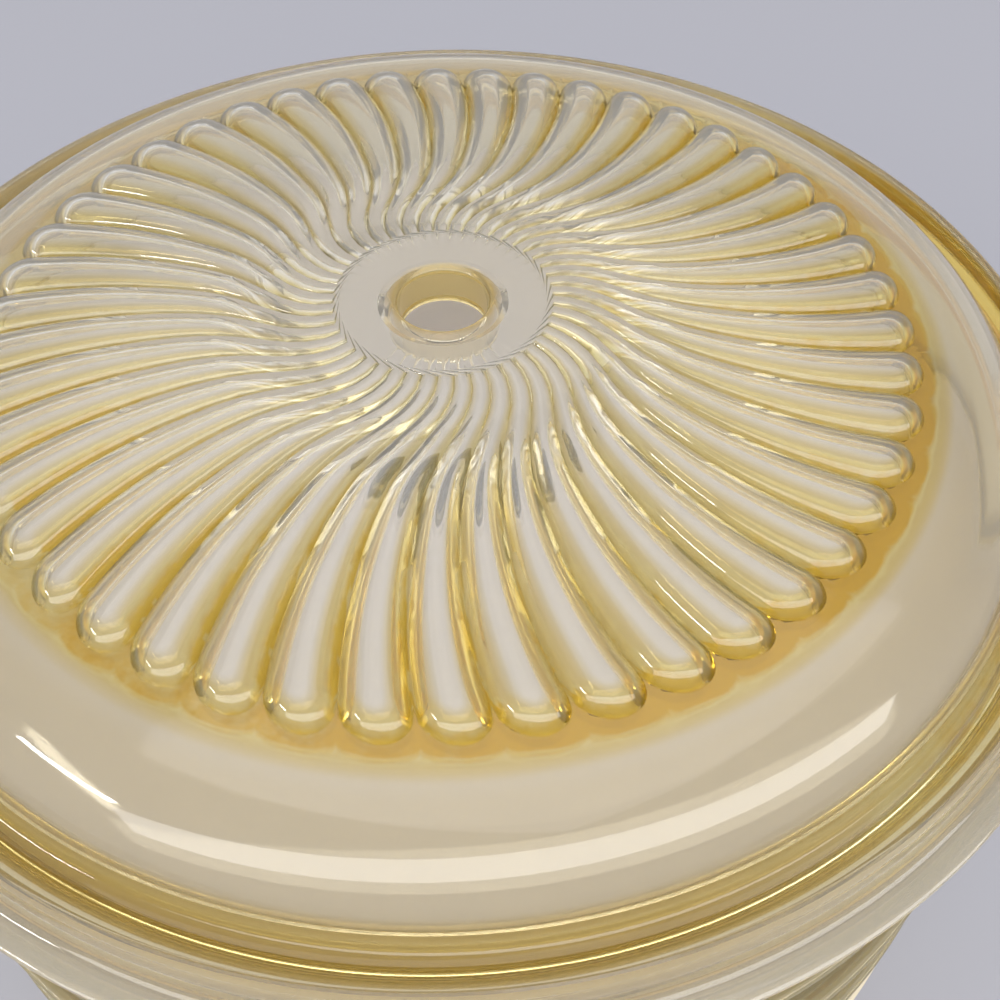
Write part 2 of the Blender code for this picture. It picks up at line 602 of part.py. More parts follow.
# Heater: a bracket with three arms, a ceramic insulator on each, and a sheathed ring on those
ARM_WIDTH = 0.0100
SPIDER_RING = 0.0180
ARM_ANGLES = (90, 210, 330)
spider = add_cylinder(bmesh.new(), SPIDER_RING, SPIDER_LOW, SPIDER_LOW + SHEET_STEEL)
heater_bracket = finish("heater_bracket", spider, STEEL)
for degrees in ARM_ANGLES:
    arm = add_box(bmesh.new(), (SPIDER_RING * 0.8, -ARM_WIDTH / 2, SPIDER_LOW),
                  (DUCT_RADIUS - REST_GAP, ARM_WIDTH / 2, SPIDER_LOW + SHEET_STEEL), radians(degrees))
    combine(heater_bracket, cutter(f"arm_tool_{degrees}", arm), "UNION")
opening = add_cylinder(bmesh.new(), SPIDER_RING - 0.6 * ARM_WIDTH, SPIDER_LOW - CUT_PAST,
                       SPIDER_LOW + 2 * SHEET_STEEL)
combine(heater_bracket, cutter("bracket_hole_tool", opening))
for index, degrees in enumerate(ARM_ANGLES):
    x, y = on_circle(HEATER_CIRCLE, degrees)
    block = add_cylinder(bmesh.new(), INSULATOR_RADIUS, 0, INSULATOR_HEIGHT)
    finish(f"heater_insulator_{index + 1}", block, CERAMIC, (x, y, INSULATOR_LOW))
WIRE_FACETS = 6
wire = []
for step in range(WIRE_FACETS):
    turn = 2 * pi * step / WIRE_FACETS
    wire.append((HEATER_CIRCLE + HEATER_WIRE * cos(turn), HEATER_Z + HEATER_WIRE * sin(turn)))
finish("heating_element", lathed(wire, 24), HEATER)

# Motor on its bracket, then the shaft, the fan and its nut, which turn together
BRACKET_RADIUS = MOTOR_POST_CIRCLE + MOTOR_POST_RADIUS + SLOT_BAR / 4
BRACKET_HOLE = MOTOR_RADIUS * 0.3
SHAFT_HOLE = SHAFT_RADIUS + REST_GAP
bracket = add_cylinder(bmesh.new(), BRACKET_RADIUS, BRACKET_LOW, BRACKET_LOW + SHEET_STEEL, facets=24)
motor_bracket = finish("motor_bracket", bracket, STEEL)
holes = add_cylinder(bmesh.new(), BRACKET_HOLE, BRACKET_LOW - CUT_PAST, BRACKET_LOW + 2 * SHEET_STEEL)
for x, y in MOTOR_POSTS:
    add_cylinder(holes, SCREW_HOLE, BRACKET_LOW - CUT_PAST, BRACKET_LOW + 2 * SHEET_STEEL, x, y, SCREW_FACETS)
combine(motor_bracket, cutter("bracket_holes_tool", holes))
for index, (x, y) in enumerate(MOTOR_POSTS):
    screw(f"motor_screw_{index + 1}", x, y, BRACKET_LOW + SHEET_STEEL, MOTOR_SCREW_LENGTH, True)
motor = add_cylinder(bmesh.new(), MOTOR_RADIUS, MOTOR_LOW, MOTOR_TOP, facets=24)
motor_body = finish("motor_body", motor, STEEL)
bore = add_cylinder(bmesh.new(), SHAFT_HOLE, MOTOR_TOP - SHAFT_DEPTH, MOTOR_TOP + CUT_PAST,
                    facets=SCREW_FACETS)
combine(motor_body, cutter("motor_bore_tool", bore))

SHAFT_LOW = MOTOR_TOP - SHAFT_DEPTH + SHAFT_END
shaft = add_cylinder(bmesh.new(), SHAFT_RADIUS, 0, SHAFT_TOP - SHAFT_LOW, facets=SCREW_FACETS)
finish("motor_shaft", shaft, STEEL, (0, 0, SHAFT_LOW))
hub = add_cylinder(bmesh.new(), FAN_HUB_RADIUS, 0, FAN_HEIGHT, facets=24)
fan = finish("fan_impeller", hub, DARK, (0, 0, FAN_LOW))
BLADE_THICKNESS, BLADE_PITCH = 0.0014, radians(28)
BLADE_CHORD = (FAN_HEIGHT - 2 * BLADE_THICKNESS) / sin(BLADE_PITCH)
blades = bmesh.new()
for index in range(FAN_BLADES):
    middle = Vector(((FAN_HUB_RADIUS + FAN_RADIUS) / 2 - CUT_PAST, 0, FAN_HEIGHT / 2))
    size = (FAN_RADIUS - FAN_HUB_RADIUS + 2 * CUT_PAST, BLADE_CHORD, BLADE_THICKNESS)
    place = Matrix.LocRotScale(middle, Matrix.Rotation(BLADE_PITCH, 3, "X"), size)
    turn = Matrix.Rotation(2 * pi * index / FAN_BLADES, 4, "Z")
    bmesh.ops.create_cube(blades, size=1.0, matrix=turn @ place)
combine(fan, cutter("blade_tool", blades, (0, 0, FAN_LOW)), "UNION")
bore = add_cylinder(bmesh.new(), SHAFT_HOLE, -CUT_PAST, FAN_HEIGHT + CUT_PAST, facets=SCREW_FACETS)
combine(fan, cutter("hub_bore_tool", bore, (0, 0, FAN_LOW)))
NUT_RADIUS = SHAFT_HOLE * 2.2
nut = lathed([(SHAFT_HOLE, 0), (NUT_RADIUS, 0), (NUT_RADIUS, NUT_HEIGHT), (SHAFT_HOLE, NUT_HEIGHT)], 6)
finish("fan_nut", nut, BRASS, (0, 0, FAN_TOP + REST_GAP))

# Control panel: a shallow moulding open at the back, with holes for spindle, lamp and switch
PANEL_WALL = 0.0024
FACE_INSIDE = PANEL_FACE - PANEL_WALL
half_width, half_height = PANEL_WIDTH / 2, PANEL_HEIGHT / 2
panel = add_box(bmesh.new(), (-half_width, -PANEL_FACE, PANEL_MIDDLE - half_height),
                (half_width, -PANEL_BACK, PANEL_MIDDLE + half_height))
control_panel = finish("control_panel", panel, CASING)
hollow = add_box(bmesh.new(),
                 (-half_width + PANEL_WALL, -FACE_INSIDE, PANEL_MIDDLE - half_height + PANEL_WALL),
                 (half_width - PANEL_WALL, -PANEL_BACK + CUT_PAST, PANEL_MIDDLE + half_height - PANEL_WALL))
combine(control_panel, cutter("panel_hollow_tool", hollow))


def along_y(shape, x, z):
    """Stand a shape made along Z so that it points out of the panel, towards -Y."""
    bmesh.ops.transform(shape, matrix=Matrix.Translation((x, 0, z)) @ Matrix.Rotation(pi / 2, 4, "X"),
                        verts=shape.verts)
    return shape


SWITCH_HALF_WIDTH = ROCKER_WIDTH / 2 + ROCKER_SIDE_ROOM + SWITCH_WALL
SWITCH_HALF_HEIGHT = ROCKER_HEIGHT / 2 + ROCKER_END_ROOM + SWITCH_WALL
for label, x, radius in (("spindle", -CONTROL_SPACING, SPINDLE_RADIUS), ("lamp", 0, LAMP_RADIUS)):
    hole = add_cylinder(bmesh.new(), radius + SCREW_GAP, FACE_INSIDE - CUT_PAST, PANEL_FACE + CUT_PAST)
    combine(control_panel, cutter(f"{label}_hole_tool", along_y(hole, x, PANEL_MIDDLE)))
hole = add_box(bmesh.new(),
               (CONTROL_SPACING - SWITCH_HALF_WIDTH - PANEL_GAP, -PANEL_FACE - CUT_PAST,
                PANEL_MIDDLE - SWITCH_HALF_HEIGHT - PANEL_GAP),
               (CONTROL_SPACING + SWITCH_HALF_WIDTH + PANEL_GAP, -FACE_INSIDE + CUT_PAST,
                PANEL_MIDDLE + SWITCH_HALF_HEIGHT + PANEL_GAP))
combine(control_panel, cutter("switch_hole_tool", hole))

# Thermostat behind the panel; its spindle and knob turn about an axis along Y
thermostat_front = FACE_INSIDE - REST_GAP
thermostat_back = thermostat_front - THERMOSTAT_DEPTH
shape = add_cylinder(bmesh.new(), THERMOSTAT_RADIUS, thermostat_back, thermostat_front, facets=24)
thermostat = finish("thermostat_body", along_y(shape, -CONTROL_SPACING, PANEL_MIDDLE), STEEL)
shape = add_cylinder(bmesh.new(), SPINDLE_RADIUS + SCREW_GAP, thermostat_front - SPINDLE_BORE,
                     thermostat_front + CUT_PAST)
combine(thermostat, cutter("thermostat_bore_tool", along_y(shape, -CONTROL_SPACING, PANEL_MIDDLE)))
KNOB_BACK = PANEL_FACE + REST_GAP
KNOB_PLACE = (-CONTROL_SPACING, -KNOB_BACK, PANEL_MIDDLE)
shape = add_cylinder(bmesh.new(), KNOB_RADIUS, 0, KNOB_LENGTH, facets=24, top_radius=KNOB_RADIUS * KNOB_TAPER)
knob = finish("thermostat_knob", shape, DARK, KNOB_PLACE, (pi / 2, 0, 0))
shape = add_cylinder(bmesh.new(), SPINDLE_RADIUS + REST_GAP, -CUT_PAST, SPINDLE_REACH + REST_GAP)
combine(knob, cutter("knob_bore_tool", shape, KNOB_PLACE, (pi / 2, 0, 0)))
spindle_start = thermostat_front - SPINDLE_BORE + SCREW_GAP - KNOB_BACK
finish("thermostat_spindle", add_cylinder(bmesh.new(), SPINDLE_RADIUS, spindle_start, SPINDLE_REACH),
       BRASS, KNOB_PLACE, (pi / 2, 0, 0))

# Switch body with an open pocket, and the rocker that tilts in it about an axis along X
switch_front = PANEL_FACE - PANEL_GAP
shape = add_box(bmesh.new(),
                (CONTROL_SPACING - SWITCH_HALF_WIDTH, -switch_front, PANEL_MIDDLE - SWITCH_HALF_HEIGHT),
                (CONTROL_SPACING + SWITCH_HALF_WIDTH, -switch_front + SWITCH_DEPTH,
                 PANEL_MIDDLE + SWITCH_HALF_HEIGHT))
switch_body = finish("switch_body", shape, DARK)
pocket_depth = ROCKER_DEPTH + CUT_PAST
shape = add_box(bmesh.new(),
                (CONTROL_SPACING - SWITCH_HALF_WIDTH + SWITCH_WALL, -switch_front - CUT_PAST,
                 PANEL_MIDDLE - SWITCH_HALF_HEIGHT + SWITCH_WALL),
                (CONTROL_SPACING + SWITCH_HALF_WIDTH - SWITCH_WALL, -switch_front + pocket_depth,
                 PANEL_MIDDLE + SWITCH_HALF_HEIGHT - SWITCH_WALL))
combine(switch_body, cutter("switch_pocket_tool", shape))
ROCKER_PIVOT = switch_front - ROCKER_DEPTH / 2
shape = bmesh.new()
front = ROCKER_DEPTH / 2 + ROCKER_PROUD
back = -ROCKER_DEPTH / 2 + CUT_PAST
tall = ROCKER_HEIGHT / 2
section = ((-front, tall), (-front + ROCKER_DISH, 0), (-front, -tall),
           (-back, -0.7 * tall), (-back, 0.7 * tall))
side = shape.faces.new([shape.verts.new((-ROCKER_WIDTH / 2, y, z)) for y, z in section])
lifted = bmesh.ops.extrude_face_region(shape, geom=[side])["geom"]
bmesh.ops.translate(shape, verts=[part for part in lifted if isinstance(part, bmesh.types.BMVert)],
                    vec=(ROCKER_WIDTH, 0, 0))
finish("power_rocker", shape, DARK, (CONTROL_SPACING, -ROCKER_PIVOT, PANEL_MIDDLE), (ROCKER_TILT, 0, 0))

lamp = add_cylinder(bmesh.new(), LAMP_RADIUS, PANEL_FACE - LAMP_DEPTH, PANEL_FACE + LAMP_PROUD,
                    top_radius=LAMP_RADIUS * 0.8)
finish("indicator_lens", along_y(lamp, 0, PANEL_MIDDLE), LAMP)

# Power inlet in the back wall, with its two pins through it
shape = add_box(bmesh.new(), (-INLET_WIDTH / 2, INLET_BACK, INLET_MIDDLE - INLET_HEIGHT / 2),
                (INLET_WIDTH / 2, INLET_FACE, INLET_MIDDLE + INLET_HEIGHT / 2))
power_inlet = finish("power_inlet", shape, DARK)
shape = add_box(bmesh.new(),
                (-INLET_WIDTH / 2 + INLET_WALL, INLET_FACE - INLET_POCKET,
                 INLET_MIDDLE - INLET_HEIGHT / 2 + INLET_WALL),
                (INLET_WIDTH / 2 - INLET_WALL, INLET_FACE + CUT_PAST,
                 INLET_MIDDLE + INLET_HEIGHT / 2 - INLET_WALL))
combine(power_inlet, cutter("inlet_pocket_tool", shape))
PIN_START = INLET_BACK - PIN_TAIL
PIN_END = INLET_FACE - PIN_RECESS
for index, x in enumerate((-PIN_SPACING / 2, PIN_SPACING / 2)):
    hole = add_cylinder(bmesh.new(), PIN_RADIUS + REST_GAP, -INLET_FACE, -INLET_BACK + CUT_PAST,
                        facets=SCREW_FACETS)
    combine(power_inlet, cutter(f"pin_hole_tool_{index + 1}", along_y(hole, x, INLET_MIDDLE)))
    pin = add_cylinder(bmesh.new(), PIN_RADIUS, -PIN_END, -PIN_START, facets=SCREW_FACETS)
    finish(f"inlet_pin_{index + 1}", along_y(pin, x, INLET_MIDDLE), BRASS)

# Terminal block and thermal cut-out beside the duct, with the leads between the pieces
TERMINAL_SIZE = (0.0160, 0.0300, 0.0110)
TERMINAL_PLACE = (DUCT_RADIUS + 0.0280, 0.0300)
block_low = PLATE_TOP + REST_GAP
shape = add_box(bmesh.new(),
                (TERMINAL_PLACE[0] - TERMINAL_SIZE[0] / 2, TERMINAL_PLACE[1] - TERMINAL_SIZE[1] / 2,
                 block_low),
                (TERMINAL_PLACE[0] + TERMINAL_SIZE[0] / 2, TERMINAL_PLACE[1] + TERMINAL_SIZE[1] / 2,
                 block_low + TERMINAL_SIZE[2]))
finish("terminal_block", shape, CERAMIC)
FUSE_RADIUS = 0.0060
FUSE_HEIGHT = 0.0050
FUSE_DROP = 0.0160          # its middle below the duct's top edge
FUSE_ANGLE = radians(-40)
fuse_back = DUCT_RADIUS + REST_GAP
shape = add_cylinder(bmesh.new(), FUSE_RADIUS, fuse_back, fuse_back + FUSE_HEIGHT)
fuse_place = Matrix.Translation((0, 0, DUCT_TOP - FUSE_DROP)) @ Matrix.Rotation(pi / 2, 4, "Y")
bmesh.ops.transform(shape, matrix=Matrix.Rotation(FUSE_ANGLE, 4, "Z") @ fuse_place, verts=shape.verts)
finish("thermal_cutout", shape, STEEL)


def lead(name, places):
    """Insulated wire along a smooth curve through the given places."""
    path = bpy.data.curves.new(name, "CURVE")
    path.dimensions = "3D"
    path.bevel_depth = LEAD_RADIUS
    path.bevel_resolution = 1
    path.resolution_u = 3
    path.use_fill_caps = True
    spline = path.splines.new("BEZIER")
    spline.bezier_points.add(len(places) - 1)
    for point, place in zip(spline.bezier_points, places):
        point.co = place
        point.handle_left_type = point.handle_right_type = "AUTO"
    path.materials.append(LEAD)
    made = bpy.data.objects.new(name, path)
    bpy.context.scene.collection.objects.link(made)


TERMINAL_Z = block_low + TERMINAL_SIZE[2] / 2
TERMINAL_BACK = TERMINAL_PLACE[1] + TERMINAL_SIZE[1] / 2 + REST_GAP
TERMINAL_FRONT = TERMINAL_PLACE[1] - TERMINAL_SIZE[1] / 2 - REST_GAP
LEAD_CIRCLE = (DUCT_RADIUS + BASE_BOTTOM_RADIUS) / 2
SWITCH_BACK = -switch_front + SWITCH_DEPTH + REST_GAP
THERMOSTAT_BACK = -thermostat_back + REST_GAP
for index, x in enumerate((-PIN_SPACING / 2, PIN_SPACING / 2)):
    lead(f"mains_lead_{index + 1}", [
        (x, PIN_START - REST_GAP, INLET_MIDDLE),
        (x, PIN_START - 0.010 + x, INLET_MIDDLE),
        (*on_circle(LEAD_CIRCLE + x, 50), TERMINAL_Z + 0.004),
        (TERMINAL_PLACE[0] + x, TERMINAL_BACK + 0.012, TERMINAL_Z),
        (TERMINAL_PLACE[0] + x, TERMINAL_BACK, TERMINAL_Z),
    ])
lead("switch_lead", [
    (TERMINAL_PLACE[0], TERMINAL_FRONT, TERMINAL_Z),
    (TERMINAL_PLACE[0], TERMINAL_FRONT - 0.012, TERMINAL_Z),
    (*on_circle(LEAD_CIRCLE, -25), TERMINAL_Z + 0.005),
    (*on_circle(LEAD_CIRCLE, -58), PANEL_MIDDLE - 0.006),
    (CONTROL_SPACING, SWITCH_BACK + 0.010, PANEL_MIDDLE),
    (CONTROL_SPACING, SWITCH_BACK, PANEL_MIDDLE),
])
lead("thermostat_lead", [
    (CONTROL_SPACING - 0.006, SWITCH_BACK, PANEL_MIDDLE),
    (CONTROL_SPACING - 0.006, SWITCH_BACK + 0.008, PANEL_MIDDLE),
    (0, -LEAD_CIRCLE, PANEL_MIDDLE - 0.002),
    (-CONTROL_SPACING + 0.004, THERMOSTAT_BACK + 0.010, PANEL_MIDDLE),
    (-CONTROL_SPACING + 0.004, THERMOSTAT_BACK, PANEL_MIDDLE),
])
HEATER_LEAD_ANGLE = 235
lead("heater_lead", [
    (-CONTROL_SPACING - 0.004, THERMOSTAT_BACK, PANEL_MIDDLE),
    (-CONTROL_SPACING - 0.004, THERMOSTAT_BACK + 0.010, PANEL_MIDDLE),
    (*on_circle(DUCT_RADIUS + 0.024, HEATER_LEAD_ANGLE + 3), DUCT_TOP - 0.006),
    (*on_circle(DUCT_RADIUS, HEATER_LEAD_ANGLE), HEATER_Z),
    (*on_circle(HEATER_CIRCLE + HEATER_WIRE + 0.008, HEATER_LEAD_ANGLE), HEATER_Z),
    (*on_circle(HEATER_CIRCLE + HEATER_WIRE + REST_GAP, HEATER_LEAD_ANGLE), HEATER_Z),
])
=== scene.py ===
"""Round stackable food dehydrator with a swirl-fluted amber lid: the visible model, built round its frame.

Metres throughout. The stack stands on the floor at z = 0 round the Z axis, and its controls face -Y.
"""

from math import atan2, cos, exp, hypot, pi, radians, sin, sqrt

import bmesh
import bpy
from mathutils import Matrix, Quaternion, Vector


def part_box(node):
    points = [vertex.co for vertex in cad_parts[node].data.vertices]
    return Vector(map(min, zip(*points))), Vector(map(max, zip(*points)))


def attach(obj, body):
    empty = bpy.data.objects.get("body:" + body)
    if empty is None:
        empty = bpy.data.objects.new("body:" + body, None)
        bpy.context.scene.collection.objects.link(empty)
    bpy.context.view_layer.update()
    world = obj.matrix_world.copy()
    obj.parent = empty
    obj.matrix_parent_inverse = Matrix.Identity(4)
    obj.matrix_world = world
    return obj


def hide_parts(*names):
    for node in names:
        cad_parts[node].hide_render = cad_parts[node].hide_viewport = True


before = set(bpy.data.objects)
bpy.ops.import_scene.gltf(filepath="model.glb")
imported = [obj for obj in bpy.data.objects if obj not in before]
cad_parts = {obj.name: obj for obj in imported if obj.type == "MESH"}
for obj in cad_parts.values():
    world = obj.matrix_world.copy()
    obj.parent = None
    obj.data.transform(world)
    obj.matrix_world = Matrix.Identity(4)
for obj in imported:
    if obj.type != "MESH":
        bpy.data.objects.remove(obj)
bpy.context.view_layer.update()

# ---------------------------------------------------------------------------------------------
# Camera. It stands at arm's length and looks down on the front of the lid from a little left of
# square, so the lid fills the view and runs past its left, right and lower edges.
# ---------------------------------------------------------------------------------------------
DISC_RISE = 0.0050                     # the lid's flat centre disc above the plane of the flute tips
tip_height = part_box("lid_cover")[1].z - DISC_RISE
CAMERA_REACH = 0.3090                  # from the middle of the flute tips
CAMERA_ELEVATION = radians(41.11)
CAMERA_PAN, CAMERA_TILT, CAMERA_ROLL = radians(-2.26), radians(-8.74), radians(2.22)
CAMERA_LENS = 44.2

camera_data = bpy.data.cameras.new("camera")
camera_data.lens = CAMERA_LENS
camera_data.clip_start = 0.01
camera = bpy.data.objects.new("camera", camera_data)
bpy.context.scene.collection.objects.link(camera)
bpy.context.scene.camera = camera
sight = Vector((0, cos(CAMERA_ELEVATION), -sin(CAMERA_ELEVATION)))
camera.location = Vector((0, 0, tip_height)) - CAMERA_REACH * sight
aimed = sight.to_track_quat("-Z", "Y")
aimed = aimed @ Quaternion((0, 1, 0), CAMERA_PAN) @ Quaternion((1, 0, 0), CAMERA_TILT)
camera.rotation_mode = "QUATERNION"
camera.rotation_quaternion = aimed @ Quaternion((0, 0, -1), CAMERA_ROLL)


# ---------------------------------------------------------------------------------------------
# Floor and light. A pale matt worktop, a soft white room all round, and one window in front of
# the object on its left.
# ---------------------------------------------------------------------------------------------
def linear(code):
    """Linear RGBA of an sRGB hex colour."""
    parts = [int(code[place:place + 2], 16) / 255 for place in (1, 3, 5)]
    return (*[part / 12.92 if part <= 0.04045 else ((part + 0.055) / 1.055) ** 2.4 for part in parts], 1.0)


def new_material(name):
    """Empty node material with its output node, ready for add."""
    made = bpy.data.materials.new(name)
    made.use_nodes = True
    made.node_tree.nodes.clear()
    made.node_tree.nodes.new("ShaderNodeOutputMaterial")
    return made


def add(tree, kind, inputs=None, **settings):
    """Add a node with its settings, and give each named input a value or a link."""
    made = tree.nodes.new(kind)
    for name, value in settings.items():
        setattr(made, name, value)
    for socket, value in (inputs or {}).items():
        if isinstance(value, bpy.types.NodeSocket):
            tree.links.new(value, made.inputs[socket])
        else:
            made.inputs[socket].default_value = value
    return made


def show(tree, shader, volume=None):
    """Send a shader, and a volume if there is one, to the material's output node."""
    output = tree.nodes["Material Output"]
    tree.links.new(shader.outputs["BSDF"], output.inputs["Surface"])
    if volume is not None:
        tree.links.new(volume.outputs["Volume"], output.inputs["Volume"])


worktop = new_material("painted_worktop")
tree = worktop.node_tree
paint = add(tree, "ShaderNodeBsdfPrincipled", {"Base Color": linear("#A4A4A9"), "Roughness": 0.55})
show(tree, paint)
FLOOR_HALF = 3.0
floor_shape = bmesh.new()
bmesh.ops.create_grid(floor_shape, x_segments=1, y_segments=1, size=FLOOR_HALF)
floor_mesh = bpy.data.meshes.new("floor")
floor_shape.to_mesh(floor_mesh)
floor_shape.free()
floor_mesh.materials.append(worktop)
floor = bpy.data.objects.new("floor", floor_mesh)
bpy.context.scene.collection.objects.link(floor)

ROOM_COLOR, ROOM_STRENGTH = "#ECECF2", 0.91
world = bpy.data.worlds.new("room")
bpy.context.scene.world = world
world.use_nodes = True
room = world.node_tree.nodes["Background"].inputs
room["Color"].default_value = linear(ROOM_COLOR)
room["Strength"].default_value = ROOM_STRENGTH
bpy.context.scene.view_settings.view_transform = "Standard"


def add_light(name, place, target, width, height, watts, color):
    """Rectangular lamp at a place, facing a target; its width runs level."""
    data = bpy.data.lights.new(name, "AREA")
    data.shape = "RECTANGLE"
    data.size, data.size_y = width, height
    data.energy = watts
    data.color = linear(color)[:3]
    lamp = bpy.data.objects.new(name, data)
    lamp.location = place
    lamp.rotation_mode = "QUATERNION"
    lamp.rotation_quaternion = (Vector(target) - Vector(place)).to_track_quat("-Z", "Y")
    bpy.context.scene.collection.objects.link(lamp)


lid_centre = (0, 0, tip_height)
add_light("window", (-1.45, -0.66, 1.08), lid_centre, 0.52, 0.09, 5, "#FFFFFF")
add_light("bright_wall", (0.25, -1.55, 1.36), lid_centre, 6.0, 0.80, 56, "#FBFCFF")
add_light("ceiling", (0.2, 0.3, 2.4), lid_centre, 2.2, 2.2, 14, "#F4F5FF")

# ---------------------------------------------------------------------------------------------
# Lid. Injection-moulded clear styrene, yellowed to amber where it is thick: a vent collar in a
# flat disc, swirled raised flutes with round ends, a rolled shoulder, a cove, a ledge and a thin
# flange. The plastic is thin over the flutes' backs and thick in the grooves between them.
# ---------------------------------------------------------------------------------------------
FLUTE_COUNT = 46
FLUTE_COLUMNS = 14                     # mesh columns across one flute
FLUTE_DEPTH = 0.0046
FLUTE_START_DEPTH = 0.0006
FLUTE_SWIRL = radians(15.5)            # hook of each flute beside the disc
HOOK_REACH = 0.15                      # how fast the hook dies out, as a share of the tip radius
FLUTE_LEAN = radians(3.0)              # bow of each flute's outer part
BOW_START, BOW_RUN = 0.33, 0.67        # where the bow starts and how far it runs, as the same shares
LOBE_FLATNESS, LOBE_ROUNDNESS = 2.9, 0.78
EDGE_CROWDING = 0.6                    # share by which the mesh columns crowd towards the grooves
DEPTH_CURVE = 0.85
LEAST_ROOM = 0.25                      # narrowest hollow, as a share of a flute's width
TIP_RADIUS = 0.1180
DISC_RADIUS = 0.0272
BAND_RADIUS = 0.1215
BACK_WALL = 0.0016                     # plastic over a flute's back
WEB_WALL = 0.0034                      # plastic under a groove
SOLID_RUN = 0.16                       # share of a flute's run that is solid, before it turns hollow
SHOULDER_RADIUS = 0.1481
LEDGE_RADIUS = 0.1587
FLANGE_RADIUS = 0.1678
SPIGOT_RADIUS = 0.1565
END_CENTRE = TIP_RADIUS / (1 + pi / FLUTE_COUNT)      # middle of each flute's round end
END_HALF = TIP_RADIUS - END_CENTRE
END_ZONE = 0.1000                      # from here out the mesh rows bend to follow the round ends


def swirl(radius):
    """Turn of a flute's centre line: hooked beside the disc, almost straight further out."""
    share = radius / TIP_RADIUS
    hook = FLUTE_SWIRL * exp(-((share - DISC_RADIUS / TIP_RADIUS) / HOOK_REACH) ** 2)
    return hook - FLUTE_LEAN * sin(pi * min(1.0, max(0.0, share - BOW_START) / BOW_RUN))


def lobe(share):
    """Height of a flute's round back across its half width, 1 on its crest and 0 in the groove."""
    return (1 - min(1.0, share) ** LOBE_FLATNESS) ** LOBE_ROUNDNESS


def flute_point(radius, angle, under):
    """Place on the first flute for an even grid point, on the top face or the underside, and how
    close the point is to a groove or to the flute's end: 0 on the crest, 1 in the groove."""
    even = round(angle * FLUTE_COUNT / pi - 1, 5)      # so that both edges of the wedge match
    across = EDGE_CROWDING * sin(even * pi / 2) + (1 - EDGE_CROWDING) * even
    reach = END_CENTRE + sqrt(max(0.0, 1 - across ** 2)) * END_HALF
    if radius > TIP_RADIUS:
        bent = reach + (radius - TIP_RADIUS) / (BAND_RADIUS - TIP_RADIUS) * (BAND_RADIUS - reach)
    elif radius > END_ZONE:
        bent = END_ZONE + (radius - END_ZONE) / (TIP_RADIUS - END_ZONE) * (reach - END_ZONE)
    else:
        bent = radius
    share = hypot(across, max(0.0, bent - END_CENTRE) / END_HALF)
    run = max(0.0, min(1.0, (bent - DISC_RADIUS) / (END_CENTRE - DISC_RADIUS)))
    depth = FLUTE_START_DEPTH + (FLUTE_DEPTH - FLUTE_START_DEPTH) * run ** DEPTH_CURVE
    height = DISC_RISE * max(0.0, TIP_RADIUS - bent) / (TIP_RADIUS - DISC_RADIUS) - depth
    if under:
        half = pi * min(bent, END_CENTRE) / FLUTE_COUNT
        room = max(LEAST_ROOM, 1 - BACK_WALL / half)
        web = BACK_WALL + (WEB_WALL - BACK_WALL) * run
        hollow = min(1.0, max(0.0, run - SOLID_RUN) / SOLID_RUN)
        height += hollow * (depth + web - BACK_WALL) * lobe(share / room) - web
    else:
        height += depth * lobe(share)
    turned_to = (1 + across) * pi / FLUTE_COUNT + swirl(min(bent, TIP_RADIUS))
    return Vector((bent * cos(turned_to), bent * sin(turned_to), height)), share


def eased(points, steps):
    """Smooth curve through the points, with that many steps between each two."""
    ends = [points[0], *points, points[-1]]
    found = []
    for a, b, c, d in zip(ends, ends[1:], ends[2:], ends[3:]):
        for step in range(steps):
            t = step / steps
            found.append(tuple(
                0.5 * (2 * q + (r - p) * t + (2 * p - 5 * q + 4 * r - s) * t ** 2
                       + (3 * q - p - 3 * r + s) * t ** 3)
                for p, q, r, s in zip(a, b, c, d)))
    return found + [points[-1]]


def weld(shape, reach):
    """Join the points that lie within reach of each other, and turn every face outward."""
    bmesh.ops.remove_doubles(shape, verts=shape.verts, dist=reach)
    bmesh.ops.recalc_face_normals(shape, faces=shape.faces)


def repeat_wedge(shape, count):
    """Turn copies of a shape's wedge round the Z axis until that many close the circle."""
    bmesh.ops.spin(shape, geom=shape.verts[:] + shape.edges[:] + shape.faces[:], cent=(0, 0, 0),
                   axis=(0, 0, 1), angle=2 * pi - 2 * pi / count, steps=count - 1, use_duplicate=True)


def spun(outline, columns, angle=2 * pi, closed=True):
    """Outline of (radius, height) points, a closed loop or an open line, spun round the Z axis."""
    shape = bmesh.new()
    points = [shape.verts.new((radius, 0, height)) for radius, height in outline]
    pairs = zip(points, points[1:] + points[:1]) if closed else zip(points, points[1:])
    edges = [shape.edges.new(pair) for pair in pairs]
    bmesh.ops.spin(shape, geom=points + edges, cent=(0, 0, 0), axis=(0, 0, 1), angle=angle,
                   steps=columns, use_merge=angle == 2 * pi)
    weld(shape, 1e-6)
    return shape


def piece(name, shape, material, body, slot, *nodes, sharp=40):
    """Make a visible piece from a bmesh, on its body, in place of the CAD nodes it stands for."""
    mesh = bpy.data.meshes.new(name)
    shape.to_mesh(mesh)
    shape.free()
    mesh.shade_smooth()
    mesh.set_sharp_from_angle(angle=radians(sharp))
    mesh.materials.append(material)
    made = bpy.data.objects.new(name, mesh)
    bpy.context.scene.collection.objects.link(made)
    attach(made, body)
    if nodes:
        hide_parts(*nodes)
    return made


